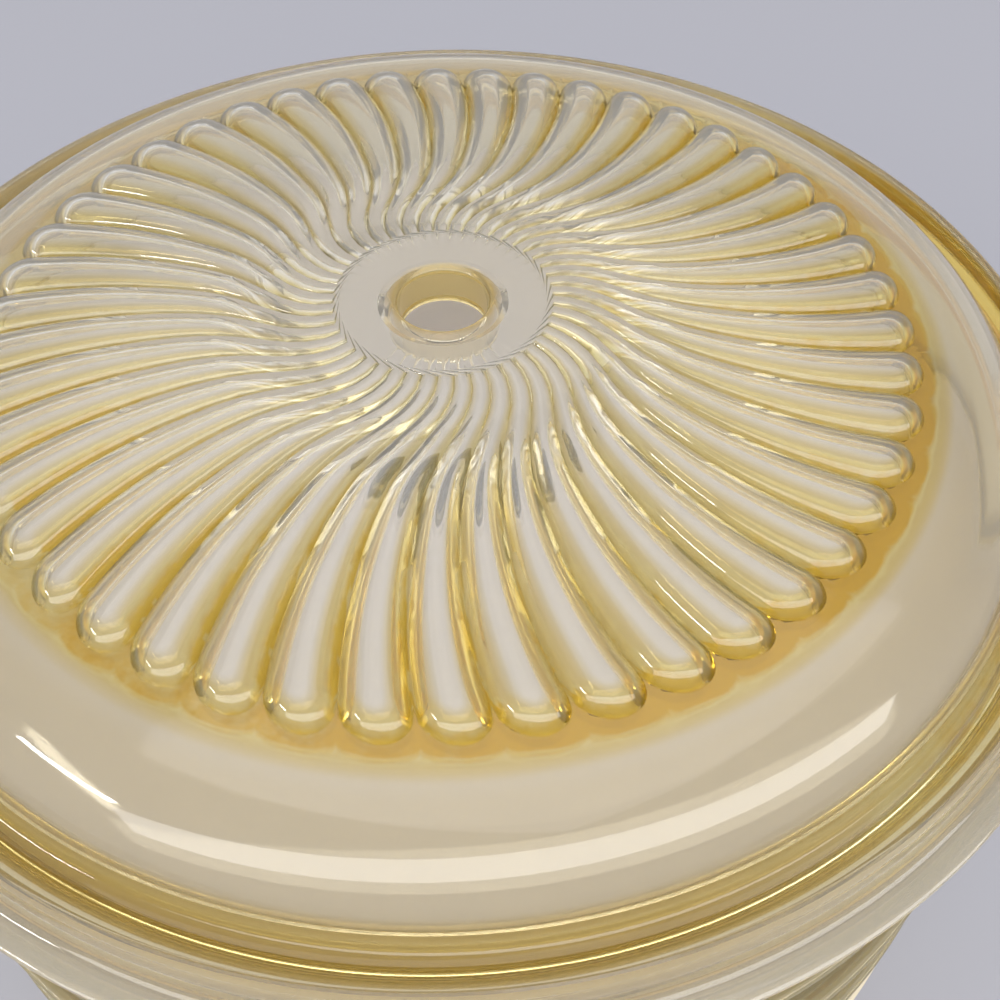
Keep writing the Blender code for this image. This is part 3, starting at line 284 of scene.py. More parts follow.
band = -FLUTE_DEPTH
lid_top_outline = eased([
    (BAND_RADIUS, band), (0.1270, band - 0.0006), (0.1330, band - 0.0022), (0.1385, -0.0093),
    (0.1430, -0.0133), (0.1463, -0.0178), (0.1478, -0.0204)], 2)
lid_top_outline += [(SHOULDER_RADIUS, -0.0208), (SHOULDER_RADIUS, -0.0214)]
lid_top_outline += eased([(0.1482, -0.0226), (0.1490, -0.0250), (0.1515, -0.0262), (0.1548, -0.0247),
                          (0.1572, -0.0215), (0.1583, -0.0200)], 3)
lid_top_outline += [(LEDGE_RADIUS, -0.0197), (LEDGE_RADIUS + 0.0006, -0.0199)]
lid_top_outline += eased([(0.1597, -0.0206), (0.1601, -0.0262), (0.1614, -0.0300), (0.1645, -0.0316),
                          (0.1670, -0.0322)], 2)
lid_top_outline += [(0.1677, -0.0328), (FLANGE_RADIUS, -0.0334), (0.1675, -0.0343), (0.1668, -0.0348)]
lid_under_outline = [
    (0.1640, -0.0348), (SPIGOT_RADIUS + 0.0004, -0.0348), (SPIGOT_RADIUS, -0.0352),
    (SPIGOT_RADIUS - 0.0003, -0.0396), (SPIGOT_RADIUS - 0.0010, -0.0401),
    (SPIGOT_RADIUS - 0.0017, -0.0401), (SPIGOT_RADIUS - 0.0020, -0.0396)]
lid_under_outline += eased([
    (SPIGOT_RADIUS - 0.0021, -0.0330), (0.1530, -0.0296), (0.1490, -0.0286), (0.1462, -0.0262),
    (0.1452, -0.0215), (0.1425, -0.0171), (0.1380, -0.0130), (0.1325, -0.0097),
    (0.1265, -0.0083), (BAND_RADIUS, band - WEB_WALL)], 2)
VENT_RADIUS = 0.0117
VENT_TAPER = 0.0009
VENT_LIP = 0.0014
COLLAR_RADIUS = VENT_RADIUS + 0.0030
COLLAR_BOTTOM = DISC_RISE - 0.0105
disc_under = DISC_RISE - FLUTE_START_DEPTH - BACK_WALL
vent_outline = [(VENT_RADIUS - VENT_TAPER, COLLAR_BOTTOM + 0.0004),
                (VENT_RADIUS - VENT_TAPER * 0.7, DISC_RISE - 0.0060)]
LIP_STEPS = 5
for step in range(LIP_STEPS + 1):
    turn = pi / 2 * step / LIP_STEPS
    vent_outline.append((VENT_RADIUS - VENT_TAPER * 0.4 + VENT_LIP * (1 - cos(turn)),
                         DISC_RISE - VENT_LIP * (1 - sin(turn))))
vent_outline += [(0.0200, DISC_RISE), (0.0255, DISC_RISE)]
collar_outline = [
    (0.0240, disc_under), (COLLAR_RADIUS + 0.0015, disc_under), (COLLAR_RADIUS, disc_under - 0.0012),
    (COLLAR_RADIUS - 0.0006, COLLAR_BOTTOM + 0.0006), (COLLAR_RADIUS - 0.0012, COLLAR_BOTTOM),
    (VENT_RADIUS - VENT_TAPER + 0.0004, COLLAR_BOTTOM)]
FIELD_ROWS, END_ROWS, BAND_ROWS = 18, 11, 3            # along the flutes, at their ends and past them
field_radii = [DISC_RADIUS + (END_ZONE - DISC_RADIUS) * row / FIELD_ROWS for row in range(FIELD_ROWS)]
field_radii += [END_ZONE + (TIP_RADIUS - END_ZONE) * sin(pi / 2 * row / END_ROWS)
                for row in range(END_ROWS + 1)]
field_radii += [TIP_RADIUS + (BAND_RADIUS - TIP_RADIUS) * row / BAND_ROWS for row in range(1, BAND_ROWS)]
FIELD_MARK = 0.5                       # stand-in height that marks the fluted faces until they are shaped
lid_outline = vent_outline + [(radius, FIELD_MARK) for radius in field_radii] + lid_top_outline
lid_outline += lid_under_outline
lid_outline += [(radius, -FIELD_MARK) for radius in reversed(field_radii)] + collar_outline

# One flute's wedge is spun and shaped, and its copies are turned round the lid and joined.
# Each point also gets its stain, from 0 for clean to 1, which later also carries painted shade, and its side
# of the flute, from -1 to 1.
INNER_STAIN = 0.66                     # stain of a groove beside the disc
STAIN_START, STAIN_RUN = 0.30, 0.55    # where it starts to deepen and how far it takes, in tip radii
BAND_STAIN, BAND_FADE = 0.60, 0.30     # past the flutes' ends, and what it loses
STAIN_SPREAD = 0.0040                  # how far past the ends it reaches
ROUNDING = 0.0001                      # so that the band's first ring of points counts as in it
lid_shape = spun(lid_outline, FLUTE_COLUMNS, angle=2 * pi / FLUTE_COUNT)
stain_and_shade = lid_shape.verts.layers.float.new("stain_and_shade")
side = lid_shape.verts.layers.float.new("side")
for vert in lid_shape.verts:
    radius, height = hypot(vert.co.x, vert.co.y), vert.co.z
    if abs(height) > FIELD_MARK / 2:
        across = atan2(vert.co.y, vert.co.x) * FLUTE_COUNT / pi - 1
        vert.co, share = flute_point(radius, atan2(vert.co.y, vert.co.x), height < 0)
        reached = hypot(vert.co.x, vert.co.y)
        outer = min(1.0, max(0.0, reached / TIP_RADIUS - STAIN_START) / STAIN_RUN)
        vert[stain_and_shade] = min(1.0, share) * (INNER_STAIN + (1 - INNER_STAIN) * outer)
        vert[side] = across if reached < END_CENTRE else 0.0
    elif BAND_RADIUS - ROUNDING < radius < BAND_RADIUS + STAIN_SPREAD:
        vert[stain_and_shade] = BAND_STAIN - BAND_FADE * (radius - BAND_RADIUS) / STAIN_SPREAD
bmesh.ops.translate(lid_shape, verts=lid_shape.verts, vec=(0, 0, tip_height))
repeat_wedge(lid_shape, FLUTE_COUNT)
weld(lid_shape, 2e-6)

# Painted shade: each slope's stain is scaled by the way it faces, most amber towards the front right and
# least away from it.
PAINTED_SHADE_BEARING = Vector((0.66, -0.75))
PAINTED_SHADE_SHARE = 0.30
COVE_PAINTED_REFLECTION = 0.92                      # painted dark amber reflection at the cove's right, fading to none in front and behind
for vert in lid_shape.verts:
    if vert[stain_and_shade] > 0:
        outward = Vector((vert.co.x, vert.co.y)).normalized()
        slope = Vector((-outward.y, outward.x)) * vert[side] + outward * (1 - abs(vert[side]))
        vert[stain_and_shade] *= 1 - PAINTED_SHADE_SHARE + PAINTED_SHADE_SHARE * slope.dot(PAINTED_SHADE_BEARING)
    # The cove's right side gets a painted dark amber reflection, strongest at +X and gone in front and
    # behind.
    elif SHOULDER_RADIUS < hypot(vert.co.x, vert.co.y) < LEDGE_RADIUS - 0.0010:
        vert[stain_and_shade] = COVE_PAINTED_REFLECTION * max(0.0, vert.co.x / SHOULDER_RADIUS)


def noise(tree, place, scale, detail, roughness=0.5):
    """Noise from 0 to 1 over a place."""
    return add(tree, "ShaderNodeTexNoise", {"Vector": place, "Scale": scale, "Detail": detail,
                                            "Roughness": roughness}).outputs["Fac"]


def blend(tree, factor, first, second):
    """Colour between two, each a link or an sRGB hex colour."""
    first, second = [linear(end) if isinstance(end, str) else end for end in (first, second)]
    return add(tree, "ShaderNodeMix", {"Factor": factor, "A": first, "B": second},
               data_type="RGBA").outputs["Result"]


def between(tree, value, low, high):
    """Number from low to high as a value goes from 0 to 1."""
    return add(tree, "ShaderNodeMapRange", {"Value": value, "To Min": low, "To Max": high}).outputs["Result"]


def rising(tree, value, low, high):
    """Smooth step from 0 to 1 as a value goes from low to high."""
    return add(tree, "ShaderNodeMapRange", {"Value": value, "From Min": low, "From Max": high},
               interpolation_type="SMOOTHSTEP").outputs["Result"]


def times_plus(tree, value, factor, base):
    """A value times a factor, plus a base."""
    return add(tree, "ShaderNodeMath", {0: value, 1: factor, 2: base}, operation="MULTIPLY_ADD").outputs[0]


def show_styrene(tree, tint, polish, clearness, density):
    """Make the material glossy styrene of a high index, more amber where it is thicker."""
    shader = add(tree, "ShaderNodeBsdfPrincipled", {
        "Base Color": tint, "Roughness": polish, "IOR": 1.57, "Transmission Weight": clearness})
    depth_tint = add(tree, "ShaderNodeVolumeAbsorption", {"Color": linear("#EDD98C"), "Density": density})
    show(tree, shader, depth_tint)


# Clear styrene: glossy, with a high index. An even pale tint deepens with thickness, the rim and
# the cove are darker, and old amber has gathered, ragged, in the grooves and round the flute ends; that amber
# also carries painted shade by each slope's bearing and a painted reflection on the cove's right.
STAIN_GRAIN, BLOT_SHARE = 0.004, 0.34  # fine blots in the stain, and how much they count
DRIFT_SCALE, DRIFT_SHARE = 22.0, 0.40  # slow drift over the lid, and how much it counts
amber = new_material("yellowed_clear_styrene")
tree = amber.node_tree
place = add(tree, "ShaderNodeTexCoord").outputs["Object"]
stain_and_shade_depth = add(tree, "ShaderNodeAttribute", attribute_name="stain_and_shade").outputs["Fac"]
blots = noise(tree, place, 1 / STAIN_GRAIN, 5.0, roughness=0.62)
drift = noise(tree, place, DRIFT_SCALE, 2.0)
ragged = times_plus(tree, drift, DRIFT_SHARE, times_plus(tree, blots, BLOT_SHARE, stain_and_shade_depth))
edge = rising(tree, ragged, 0.88, 0.98)
core = rising(tree, ragged, 0.98, 1.24)
gold = blend(tree, core, "#FCF1B0", "#F3CB45")
flat = add(tree, "ShaderNodeVectorMath", {0: place, 1: (1, 1, 0)}, operation="MULTIPLY").outputs["Vector"]
from_axis = add(tree, "ShaderNodeVectorMath", {0: flat}, operation="LENGTH").outputs["Value"]
RING_TINTS = ((VENT_RADIUS + 0.0008, "#F4DC90"), (VENT_RADIUS + 0.0022, "#FDFBF3"), (0.1150, "#FDFBF3"),
              (0.1290, "#F8F0D8"), (0.1462, "#F9F2DE"), (0.1484, "#E6CF7E"), (0.1530, "#DFC05A"),
              (0.1578, "#F4E8BC"), (LEDGE_RADIUS, "#FAF5E2"), (FLANGE_RADIUS, "#FFFFFF"))
ring_share = add(tree, "ShaderNodeMath", {0: from_axis, 1: FLANGE_RADIUS}, operation="DIVIDE").outputs[0]
rings = add(tree, "ShaderNodeValToRGB", {"Fac": ring_share})
stops = rings.color_ramp.elements
for index, (reach, code) in enumerate(RING_TINTS):
    new_stop = 0 < index < len(RING_TINTS) - 1         # the ramp comes with a first and a last stop
    stop = stops.new(reach / FLANGE_RADIUS) if new_stop else stops[0 if index == 0 else -1]
    stop.position = reach / FLANGE_RADIUS
    stop.color = linear(code)
slopes = rising(tree, stain_and_shade_depth, 0.18, 0.54)
cream = blend(tree, slopes, rings.outputs["Color"], "#F5E4A2")
show_styrene(tree, blend(tree, edge, cream, gold), between(tree, drift, 0.03, 0.07), 0.89, 22.0)
piece("fluted_lid", lid_shape, amber, "lid", "clear_amber", "lid_cover", sharp=35)

# ---------------------------------------------------------------------------------------------
# Trays. Four copies of one moulding in the lid's styrene: a wall with a rolled bead, a locating
# ring underneath, a floor of fine bars, and a short chimney for the warm air in the middle.
# ---------------------------------------------------------------------------------------------
WALL_RADIUS = 0.1598
WALL_THICKNESS = 0.0026
BEAD_RADIUS = 0.1625
BEAD_ROUND = 0.0012
CHIMNEY_RADIUS = 0.0160
CHIMNEY_WALL = 0.0020
CHIMNEY_HEIGHT = 0.0100
FLOOR_LOW = 0.0003
FLOOR_TOP = 0.0027
SPIGOT_DEPTH = 0.0050
TRAY_WEDGES, WEDGE_COLUMNS = 20, 18    # the tray repeats every wedge
TRAY_WEDGE = 2 * pi / TRAY_WEDGES
INNER_SPACING, OUTER_SPACING = 9, 6    # mesh columns from one bar to the next
FINE_BAR = 0.0018
MESH_INNER, MESH_MIDDLE, MESH_OUTER = 0.0260, 0.0782, 0.1425
FLOOR_INNER, FLOOR_OUTER = MESH_INNER - FINE_BAR, MESH_OUTER + FINE_BAR
RIM_TEST = 1e-5                        # within this of a rim, a point counts as on it
tray_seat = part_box("tray_1")[0].z + SPIGOT_DEPTH
tray_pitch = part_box("tray_2")[0].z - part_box("tray_1")[0].z
wall_inside = WALL_RADIUS - WALL_THICKNESS


def bar_rows(low, high, cells):
    """Radii of the ring-shaped bars' edges, with even cells between them."""
    rows = [low]
    for step in range(1, cells):
        middle = low + (high - low) * step / cells
        rows += [middle - FINE_BAR / 2, middle + FINE_BAR / 2]
    return rows + [high]


def add_turned(shape, outline):
    """Spin an open outline of (radius, height) points into one wedge of the shape."""
    points = [shape.verts.new((radius, 0, height)) for radius, height in outline]
    edges = [shape.edges.new(pair) for pair in zip(points, points[1:])]
    bmesh.ops.spin(shape, geom=points + edges, cent=(0, 0, 0), axis=(0, 0, 1), angle=TRAY_WEDGE,
                   steps=WEDGE_COLUMNS)


def bead(top, first):
    """Outline of the rolled bead below a rim's top, in sixths of a right angle from the first one up."""
    turns = [pi / 2 * step / 6 for step in range(first, 7)]
    return [(BEAD_RADIUS - BEAD_ROUND + BEAD_ROUND * cos(turn), top - BEAD_ROUND + BEAD_ROUND * sin(turn))
            for turn in turns]


# The floor's wedge: faces between the bars are taken out, then what is left gets its thickness.
inner_rows = bar_rows(MESH_INNER, MESH_MIDDLE - FINE_BAR, 6)
outer_rows = bar_rows(MESH_MIDDLE + FINE_BAR, MESH_OUTER, 7)
tray_shape = bmesh.new()
add_turned(tray_shape, [(radius, FLOOR_TOP)
                        for radius in [FLOOR_INNER, *inner_rows, *outer_rows, FLOOR_OUTER]])
holes = []
for face in tray_shape.faces:
    centre = face.calc_center_median()
    radius = hypot(centre.x, centre.y)
    column = int(atan2(centre.y, centre.x) / TRAY_WEDGE * WEDGE_COLUMNS)
    rows, spacing = (inner_rows, INNER_SPACING) if radius < MESH_MIDDLE else (outer_rows, OUTER_SPACING)
    in_cell = any(low < radius < high for low, high in zip(rows[::2], rows[1::2]))
    if in_cell and column % spacing:
        holes.append(face)
bmesh.ops.delete(tray_shape, geom=holes, context="FACES")
repeat_wedge(tray_shape, TRAY_WEDGES)
weld(tray_shape, 5e-6)
if tray_shape.faces[:][0].normal.z < 0:
    bmesh.ops.reverse_faces(tray_shape, faces=tray_shape.faces)
bmesh.ops.solidify(tray_shape, geom=tray_shape.faces[:], thickness=FLOOR_TOP - FLOOR_LOW)
rim_faces = [face for face in tray_shape.faces
             if any(all(abs(hypot(vert.co.x, vert.co.y) - rim) < RIM_TEST for vert in face.verts)
                    for rim in (FLOOR_INNER, FLOOR_OUTER))]
bmesh.ops.delete(tray_shape, geom=rim_faces, context="FACES")
floor_heights = sorted({round(vert.co.z, 5) for vert in tray_shape.verts})
under, over = floor_heights[0], floor_heights[-1]

# The chimney and the wall join the floor's inner and outer rims.
chimney_outside = CHIMNEY_RADIUS + CHIMNEY_WALL
chimney_outline = [
    (FLOOR_INNER, over), (chimney_outside + 0.0010, over), (chimney_outside, over + 0.0010),
    (chimney_outside, CHIMNEY_HEIGHT - 0.0006), (chimney_outside - 0.0006, CHIMNEY_HEIGHT),
    (CHIMNEY_RADIUS + 0.0006, CHIMNEY_HEIGHT), (CHIMNEY_RADIUS, CHIMNEY_HEIGHT - 0.0006),
    (CHIMNEY_RADIUS, under + 0.0004), (CHIMNEY_RADIUS + 0.0004, under), (FLOOR_INNER, under)]
wall_outline = [
    (FLOOR_OUTER, under), (0.1540, under), (0.1545, under - 0.0005), (0.1545, -SPIGOT_DEPTH + 0.0005),
    (0.1550, -SPIGOT_DEPTH), (0.1557, -SPIGOT_DEPTH), (0.15615, -SPIGOT_DEPTH + 0.0005), (0.1565, under),
    (0.1585, under), (0.1592, under + 0.0007), (WALL_RADIUS, tray_pitch - 0.0044),
    (WALL_RADIUS + 0.0005, tray_pitch - 0.0036)]
wall_outline += bead(tray_pitch, -2)
wall_outline += [
    (wall_inside + 0.0010, tray_pitch), (wall_inside + 0.0003, tray_pitch - 0.0003),
    (wall_inside, tray_pitch - 0.0010), (wall_inside, over + 0.0024), (wall_inside - 0.0007, over + 0.0007),
    (wall_inside - 0.0024, over), (FLOOR_OUTER, over)]
side_wedge = bmesh.new()
add_turned(side_wedge, chimney_outline)
add_turned(side_wedge, wall_outline)
repeat_wedge(side_wedge, TRAY_WEDGES)
sides = bpy.data.meshes.new("tray_sides")
side_wedge.to_mesh(sides)
side_wedge.free()
tray_shape.from_mesh(sides)
bpy.data.meshes.remove(sides)
weld(tray_shape, 5e-6)

# The trays' styrene is the lid's, but kept duller by years of washing.
tray_styrene = new_material("washed_clear_styrene")
tree = tray_styrene.node_tree
place = add(tree, "ShaderNodeTexCoord").outputs["Object"]
WIPE_MARKS = 0.012
wipes = noise(tree, place, 1 / WIPE_MARKS, 6.0)
wash_tint = blend(tree, wipes, "#F9EFC8", "#F5E7B4")
show_styrene(tree, wash_tint, between(tree, wipes, 0.06, 0.16), 0.80, 40.0)
TRAY_COUNT = 4
for level in range(TRAY_COUNT):
    copy = tray_shape.copy()
    bmesh.ops.translate(copy, verts=copy.verts, vec=(0, 0, tray_seat + level * tray_pitch))
    piece(f"clear_tray_{level + 1}", copy, tray_styrene, f"tray_{level + 1}", "clear_amber",
          f"tray_{level + 1}")
tray_shape.free()

# ---------------------------------------------------------------------------------------------
# Fruit-leather sheet. A plain pressed polypropylene ring in the top tray, with a turned-up rim.
# ---------------------------------------------------------------------------------------------
SHEET_THICKNESS = 0.0012
SHEET_COLUMNS = 180
sheet_low, sheet_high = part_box("fruit_sheet")
sheet_edge = sheet_high.x
sheet_hole = CHIMNEY_RADIUS + CHIMNEY_WALL + 0.0014
sheet_outline = [(sheet_hole, sheet_low.z + 0.0004), (sheet_hole + 0.0005, sheet_low.z)]
sheet_outline += [(sheet_edge - 0.0030, sheet_low.z), (sheet_edge - 0.0016, sheet_low.z + 0.0006),
                  (sheet_edge - 0.0004, sheet_low.z + 0.0030), (sheet_edge, sheet_high.z - 0.0004),
                  (sheet_edge - 0.0004, sheet_high.z), (sheet_edge - 0.0009, sheet_high.z - 0.0003),
                  (sheet_edge - 0.0014, sheet_low.z + 0.0032), (sheet_edge - 0.0022, sheet_low.z + 0.0017),
                  (sheet_edge - 0.0032, sheet_low.z + SHEET_THICKNESS)]
sheet_outline += [(sheet_hole + 0.0028, sheet_low.z + SHEET_THICKNESS),
                  (sheet_hole + 0.0016, sheet_low.z + 0.0018), (sheet_hole + 0.0012, sheet_high.z - 0.0004),
                  (sheet_hole + 0.0006, sheet_high.z), (sheet_hole, sheet_high.z - 0.0004)]
polypropylene = new_material("satin_polypropylene_sheet")
tree = polypropylene.node_tree
place = add(tree, "ShaderNodeTexCoord").outputs["Object"]
FILM_MARKS, SHEET_GRAIN = 0.020, 0.0006
film = noise(tree, place, 1 / FILM_MARKS, 4.0)
grain = noise(tree, place, 1 / SHEET_GRAIN, 1.0)
leather = add(tree, "ShaderNodeBump", {"Height": grain, "Strength": 0.12, "Distance": 0.0002})
plastic = add(tree, "ShaderNodeBsdfPrincipled", {
    "Base Color": blend(tree, film, "#E4E1EE", "#DCD9E7"), "Roughness": between(tree, film, 0.36, 0.50),
    "IOR": 1.49, "Normal": leather.outputs["Normal"]})
show(tree, plastic)
piece("fruit_leather_sheet", spun(sheet_outline, SHEET_COLUMNS), polypropylene, "tray_4", "pale_sheet",
      "fruit_sheet")

# ---------------------------------------------------------------------------------------------
# Base housing. One injection-moulded ABS tub: the trays' rim and bead on top, an inner ledge for
# the air deck, four screw bosses at the heel, and windows for the control panel and the inlet.
# ---------------------------------------------------------------------------------------------
BASE_COLUMNS, ROD_COLUMNS = 240, 32
RESTING_GAP = 0.0003                   # between the housing and what rests on it
base_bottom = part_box("base_housing")[0].z
rim_top = tray_seat
ledge_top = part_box("air_deck")[0].z - RESTING_GAP
BASE_BOTTOM_RADIUS = 0.1480
HEEL_RADIUS = 0.1525
WAIST_RADIUS = 0.1558
BASE_WALL = 0.0026
LEDGE_INSIDE = 0.1502
HOUSING_GAP = 0.0005                   # round the panel and the inlet in their windows
CUT_REACH = 0.0120                     # how far a window's cutter runs past the piece that fills it


def carved(shape, tool, operation="DIFFERENCE"):
    """Shape with a closed tool cut from it, or joined to it; both are used up."""
    parts = []
    for source in (shape, tool):
        bmesh.ops.recalc_face_normals(source, faces=source.faces)
        mesh = bpy.data.meshes.new("carving")
        source.to_mesh(mesh)
        source.free()
        parts.append(bpy.data.objects.new("carving", mesh))
        bpy.context.scene.collection.objects.link(parts[-1])
    step = parts[0].modifiers.new("carving", "BOOLEAN")
    step.object, step.operation, step.solver = parts[1], operation, "EXACT"
    graph = bpy.context.evaluated_depsgraph_get()
    made = bmesh.new()
    made.from_mesh(parts[0].evaluated_get(graph).to_mesh())
    for part in parts:
        bpy.data.objects.remove(part)
    return made


def rounded(shape, edges, radius, steps):
    """Round some of a shape's edges off."""
    bmesh.ops.bevel(shape, geom=edges, offset=radius, segments=steps, profile=0.5, affect="EDGES",
                    material=-1)


def block(low, high, corner=0.0, edge=0.0, turn=0.0):
    """Box between two corners, with rounded corners seen along Y, rounded front edges and a turn about
    the Z axis."""
    shape = bmesh.new()
    middle, size = (Vector(low) + Vector(high)) / 2, Vector(high) - Vector(low)
    bmesh.ops.create_cube(shape, size=1.0, matrix=Matrix.LocRotScale(middle, None, size))
    if corner:
        deep = [rim for rim in shape.edges if abs((rim.verts[0].co - rim.verts[1].co).y) > 1e-4]
        rounded(shape, deep, corner, 6)
    if edge:
        front = [rim for rim in shape.edges if all(abs(vert.co.y - low[1]) < 1e-6 for vert in rim.verts)]
        rounded(shape, front, edge, 4)
    bmesh.ops.rotate(shape, verts=shape.verts, cent=(0, 0, 0), matrix=Matrix.Rotation(turn, 3, "Z"))
    return shape


def rod(radius, low, high, x, y, facing="Z"):
    """Cylinder from low to high along Z at (x, y), or along -Y with y as its height."""
    shape = bmesh.new()
    bmesh.ops.create_cone(shape, cap_ends=True, segments=ROD_COLUMNS, radius1=radius, radius2=radius,
                          depth=high - low, matrix=Matrix.Translation((0, 0, (low + high) / 2)))
    if facing == "-Y":
        bmesh.ops.rotate(shape, verts=shape.verts, cent=(0, 0, 0), matrix=Matrix.Rotation(pi / 2, 3, "X"))
        bmesh.ops.translate(shape, verts=shape.verts, vec=(x, 0, y))
    else:
        bmesh.ops.translate(shape, verts=shape.verts, vec=(x, y, 0))
    return shape


waist_z = ledge_top - 0.0090
heel_z = base_bottom + 0.0043
housing_outline = eased([
    (BASE_BOTTOM_RADIUS, base_bottom + 0.0008), (BASE_BOTTOM_RADIUS + 0.0030, base_bottom + 0.0020),
    (HEEL_RADIUS, heel_z + 0.0010), (HEEL_RADIUS + 0.0005, heel_z + 0.0060)], 3)
housing_outline += eased([
    (WAIST_RADIUS - 0.0006, waist_z - 0.0110), (WAIST_RADIUS, waist_z),
    (WAIST_RADIUS + 0.0016, waist_z + 0.0070), (WALL_RADIUS - 0.0004, rim_top - 0.0062),
    (WALL_RADIUS, rim_top - 0.0042)], 3)
housing_outline += bead(rim_top, -3)
housing_outline += [
    (wall_inside + 0.0008, rim_top), (wall_inside, rim_top - 0.0008), (wall_inside, ledge_top + 0.0006),
    (wall_inside - 0.0006, ledge_top), (LEDGE_INSIDE + 0.0005, ledge_top), (LEDGE_INSIDE, ledge_top - 0.0005),
    (LEDGE_INSIDE, ledge_top - BASE_WALL), (WAIST_RADIUS - BASE_WALL, waist_z - 0.0020),
    (HEEL_RADIUS - BASE_WALL, heel_z + 0.0010), (BASE_BOTTOM_RADIUS - BASE_WALL, heel_z - 0.0010),
    (BASE_BOTTOM_RADIUS - BASE_WALL, base_bottom), (BASE_BOTTOM_RADIUS - 0.0008, base_bottom)]
housing_shape = spun(housing_outline, BASE_COLUMNS)
panel_low, panel_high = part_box("control_panel")
inlet_low, inlet_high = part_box("power_inlet")
PANEL_CORNER, INLET_CORNER = 0.0042, 0.0022
gap = Vector((HOUSING_GAP, 0, HOUSING_GAP))
front_reach, back_reach = Vector((0, -CUT_REACH, 0)), Vector((0, CUT_REACH, 0))
housing_shape = carved(housing_shape, block(panel_low - gap + front_reach, panel_high + gap, PANEL_CORNER))
housing_shape = carved(housing_shape, block(inlet_low - gap, inlet_high + gap + back_reach, INLET_CORNER))
BOSS_COUNT = 4
BOSS_WIDTH, BOSS_LENGTH, BOSS_HEIGHT = 0.0120, 0.0170, 0.0280
BOSS_ROOT = 0.6                        # how far a boss reaches into the wall, in wall thicknesses
PLATE_SEAT = 0.0028                    # from the bottom plate's underside to the bosses that stand on it
SCREW_HOLE = 0.0021
boss_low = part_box("bottom_plate")[0].z + PLATE_SEAT
boss_end = HEEL_RADIUS - BOSS_ROOT * BASE_WALL
for index in range(BOSS_COUNT):
    quarter = pi / 4 + index * pi / 2
    housing_shape = carved(housing_shape, block(
        (boss_end - BOSS_LENGTH, -BOSS_WIDTH / 2, boss_low),
        (boss_end, BOSS_WIDTH / 2, boss_low + BOSS_HEIGHT), turn=quarter), "UNION")
    screw_low, screw_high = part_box(f"housing_screw_{index + 1}")
    screw_at = (screw_low + screw_high) / 2
    housing_shape = carved(housing_shape, rod(SCREW_HOLE, boss_low - 0.0010, screw_high.z + 0.0020,
                                              screw_at.x, screw_at.y))

MOTTLE_SCALE = 0.06                    # the mottle is that much coarser than the grain
GRAIN_RELIEF = 0.25                    # height of the grain against its width


def moulded(name, light, dark, roughness, grain, bump, metallic=0.0, ior=1.50):
    """Opaque material with a faint mottle, an uneven polish between two roughnesses, and a fine grain."""
    made = new_material(name)
    tree = made.node_tree
    place = add(tree, "ShaderNodeTexCoord").outputs["Object"]
    mottle = noise(tree, place, MOTTLE_SCALE / grain, 4.0)
    fine = noise(tree, place, 1 / grain, 2.0)
    raised = add(tree, "ShaderNodeBump", {"Height": fine, "Strength": bump, "Distance": GRAIN_RELIEF * grain})
    show(tree, add(tree, "ShaderNodeBsdfPrincipled", {
        "Base Color": blend(tree, mottle, light, dark), "Roughness": between(tree, mottle, *roughness),
        "Metallic": metallic, "IOR": ior, "Normal": raised.outputs["Normal"]}))
    return made


# Almond ABS with a fine spark-eroded texture, a little yellowed.
almond = moulded("spark_eroded_almond_abs", "#DCD0B4", "#D5C7A8", (0.36, 0.46), 0.0007, 0.30)
piece("base_tub", housing_shape, almond, "base", "casing", "base_housing")

# ---------------------------------------------------------------------------------------------
# Control panel. A shallow ABS moulding pressed into the front window, with a pad-printed scale
# round the thermostat's knob.
# ---------------------------------------------------------------------------------------------
PANEL_WALL, PANEL_HOLE = 0.0024, 0.0035
knob_low, knob_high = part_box("thermostat_knob")
knob_at = (knob_low + knob_high) / 2
lens_low, lens_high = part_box("indicator_lens")
switch_low, switch_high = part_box("switch_body")
panel_face = panel_low.y
panel_shape = block(panel_low, panel_high, PANEL_CORNER - HOUSING_GAP, 0.0014)
panel_wall = Vector((PANEL_WALL, 0, PANEL_WALL))
panel_shape = carved(panel_shape, block(panel_low + panel_wall + Vector((0, PANEL_WALL, 0)),
                                        panel_high - panel_wall + back_reach, PANEL_CORNER - PANEL_WALL))
for hole_x in (knob_at.x, 0.0):                        # for the spindle and for the lamp
    panel_shape = carved(panel_shape, rod(PANEL_HOLE, -panel_face - 0.0060, -panel_face + 0.0020, hole_x,
                                          knob_at.z, facing="-Y"))
panel_shape = carved(panel_shape, block(switch_low - gap + front_reach, switch_high + gap, 0.0008))
panel_abs = moulded("satin_almond_abs", "#CFC0A0", "#C9B996", (0.30, 0.38), 0.0009, 0.18)
piece("panel_moulding", panel_shape, panel_abs, "base", "casing", "control_panel")

TICK_COUNT = 11
TICK_SPAN = radians(270)
TICK_INNER, TICK_LENGTH, TICK_WIDTH, INK = 0.0151, 0.0019, 0.0006, 0.0001
LONG_TICK_EVERY, SHORT_TICK = 5, 0.6
tick_shape = bmesh.new()
dial_centre = Matrix.Translation((knob_at.x, panel_face - INK / 2, knob_at.z))
for index in range(TICK_COUNT):
    turn = TICK_SPAN * (index / (TICK_COUNT - 1) - 0.5)
    long = TICK_LENGTH * (1.0 if index % LONG_TICK_EVERY == 0 else SHORT_TICK)
    tick = Matrix.LocRotScale(Vector((0, 0, TICK_INNER + long / 2)), None, Vector((TICK_WIDTH, INK, long)))
    bmesh.ops.create_cube(tick_shape, size=1.0, matrix=dial_centre @ Matrix.Rotation(turn, 4, "Y") @ tick)
ink = moulded("pad_printed_brown_ink", "#4A3B2C", "#443627", (0.45, 0.55), 0.0008, 0.10)
piece("dial_scale", tick_shape, ink, "base", "black_plastic")

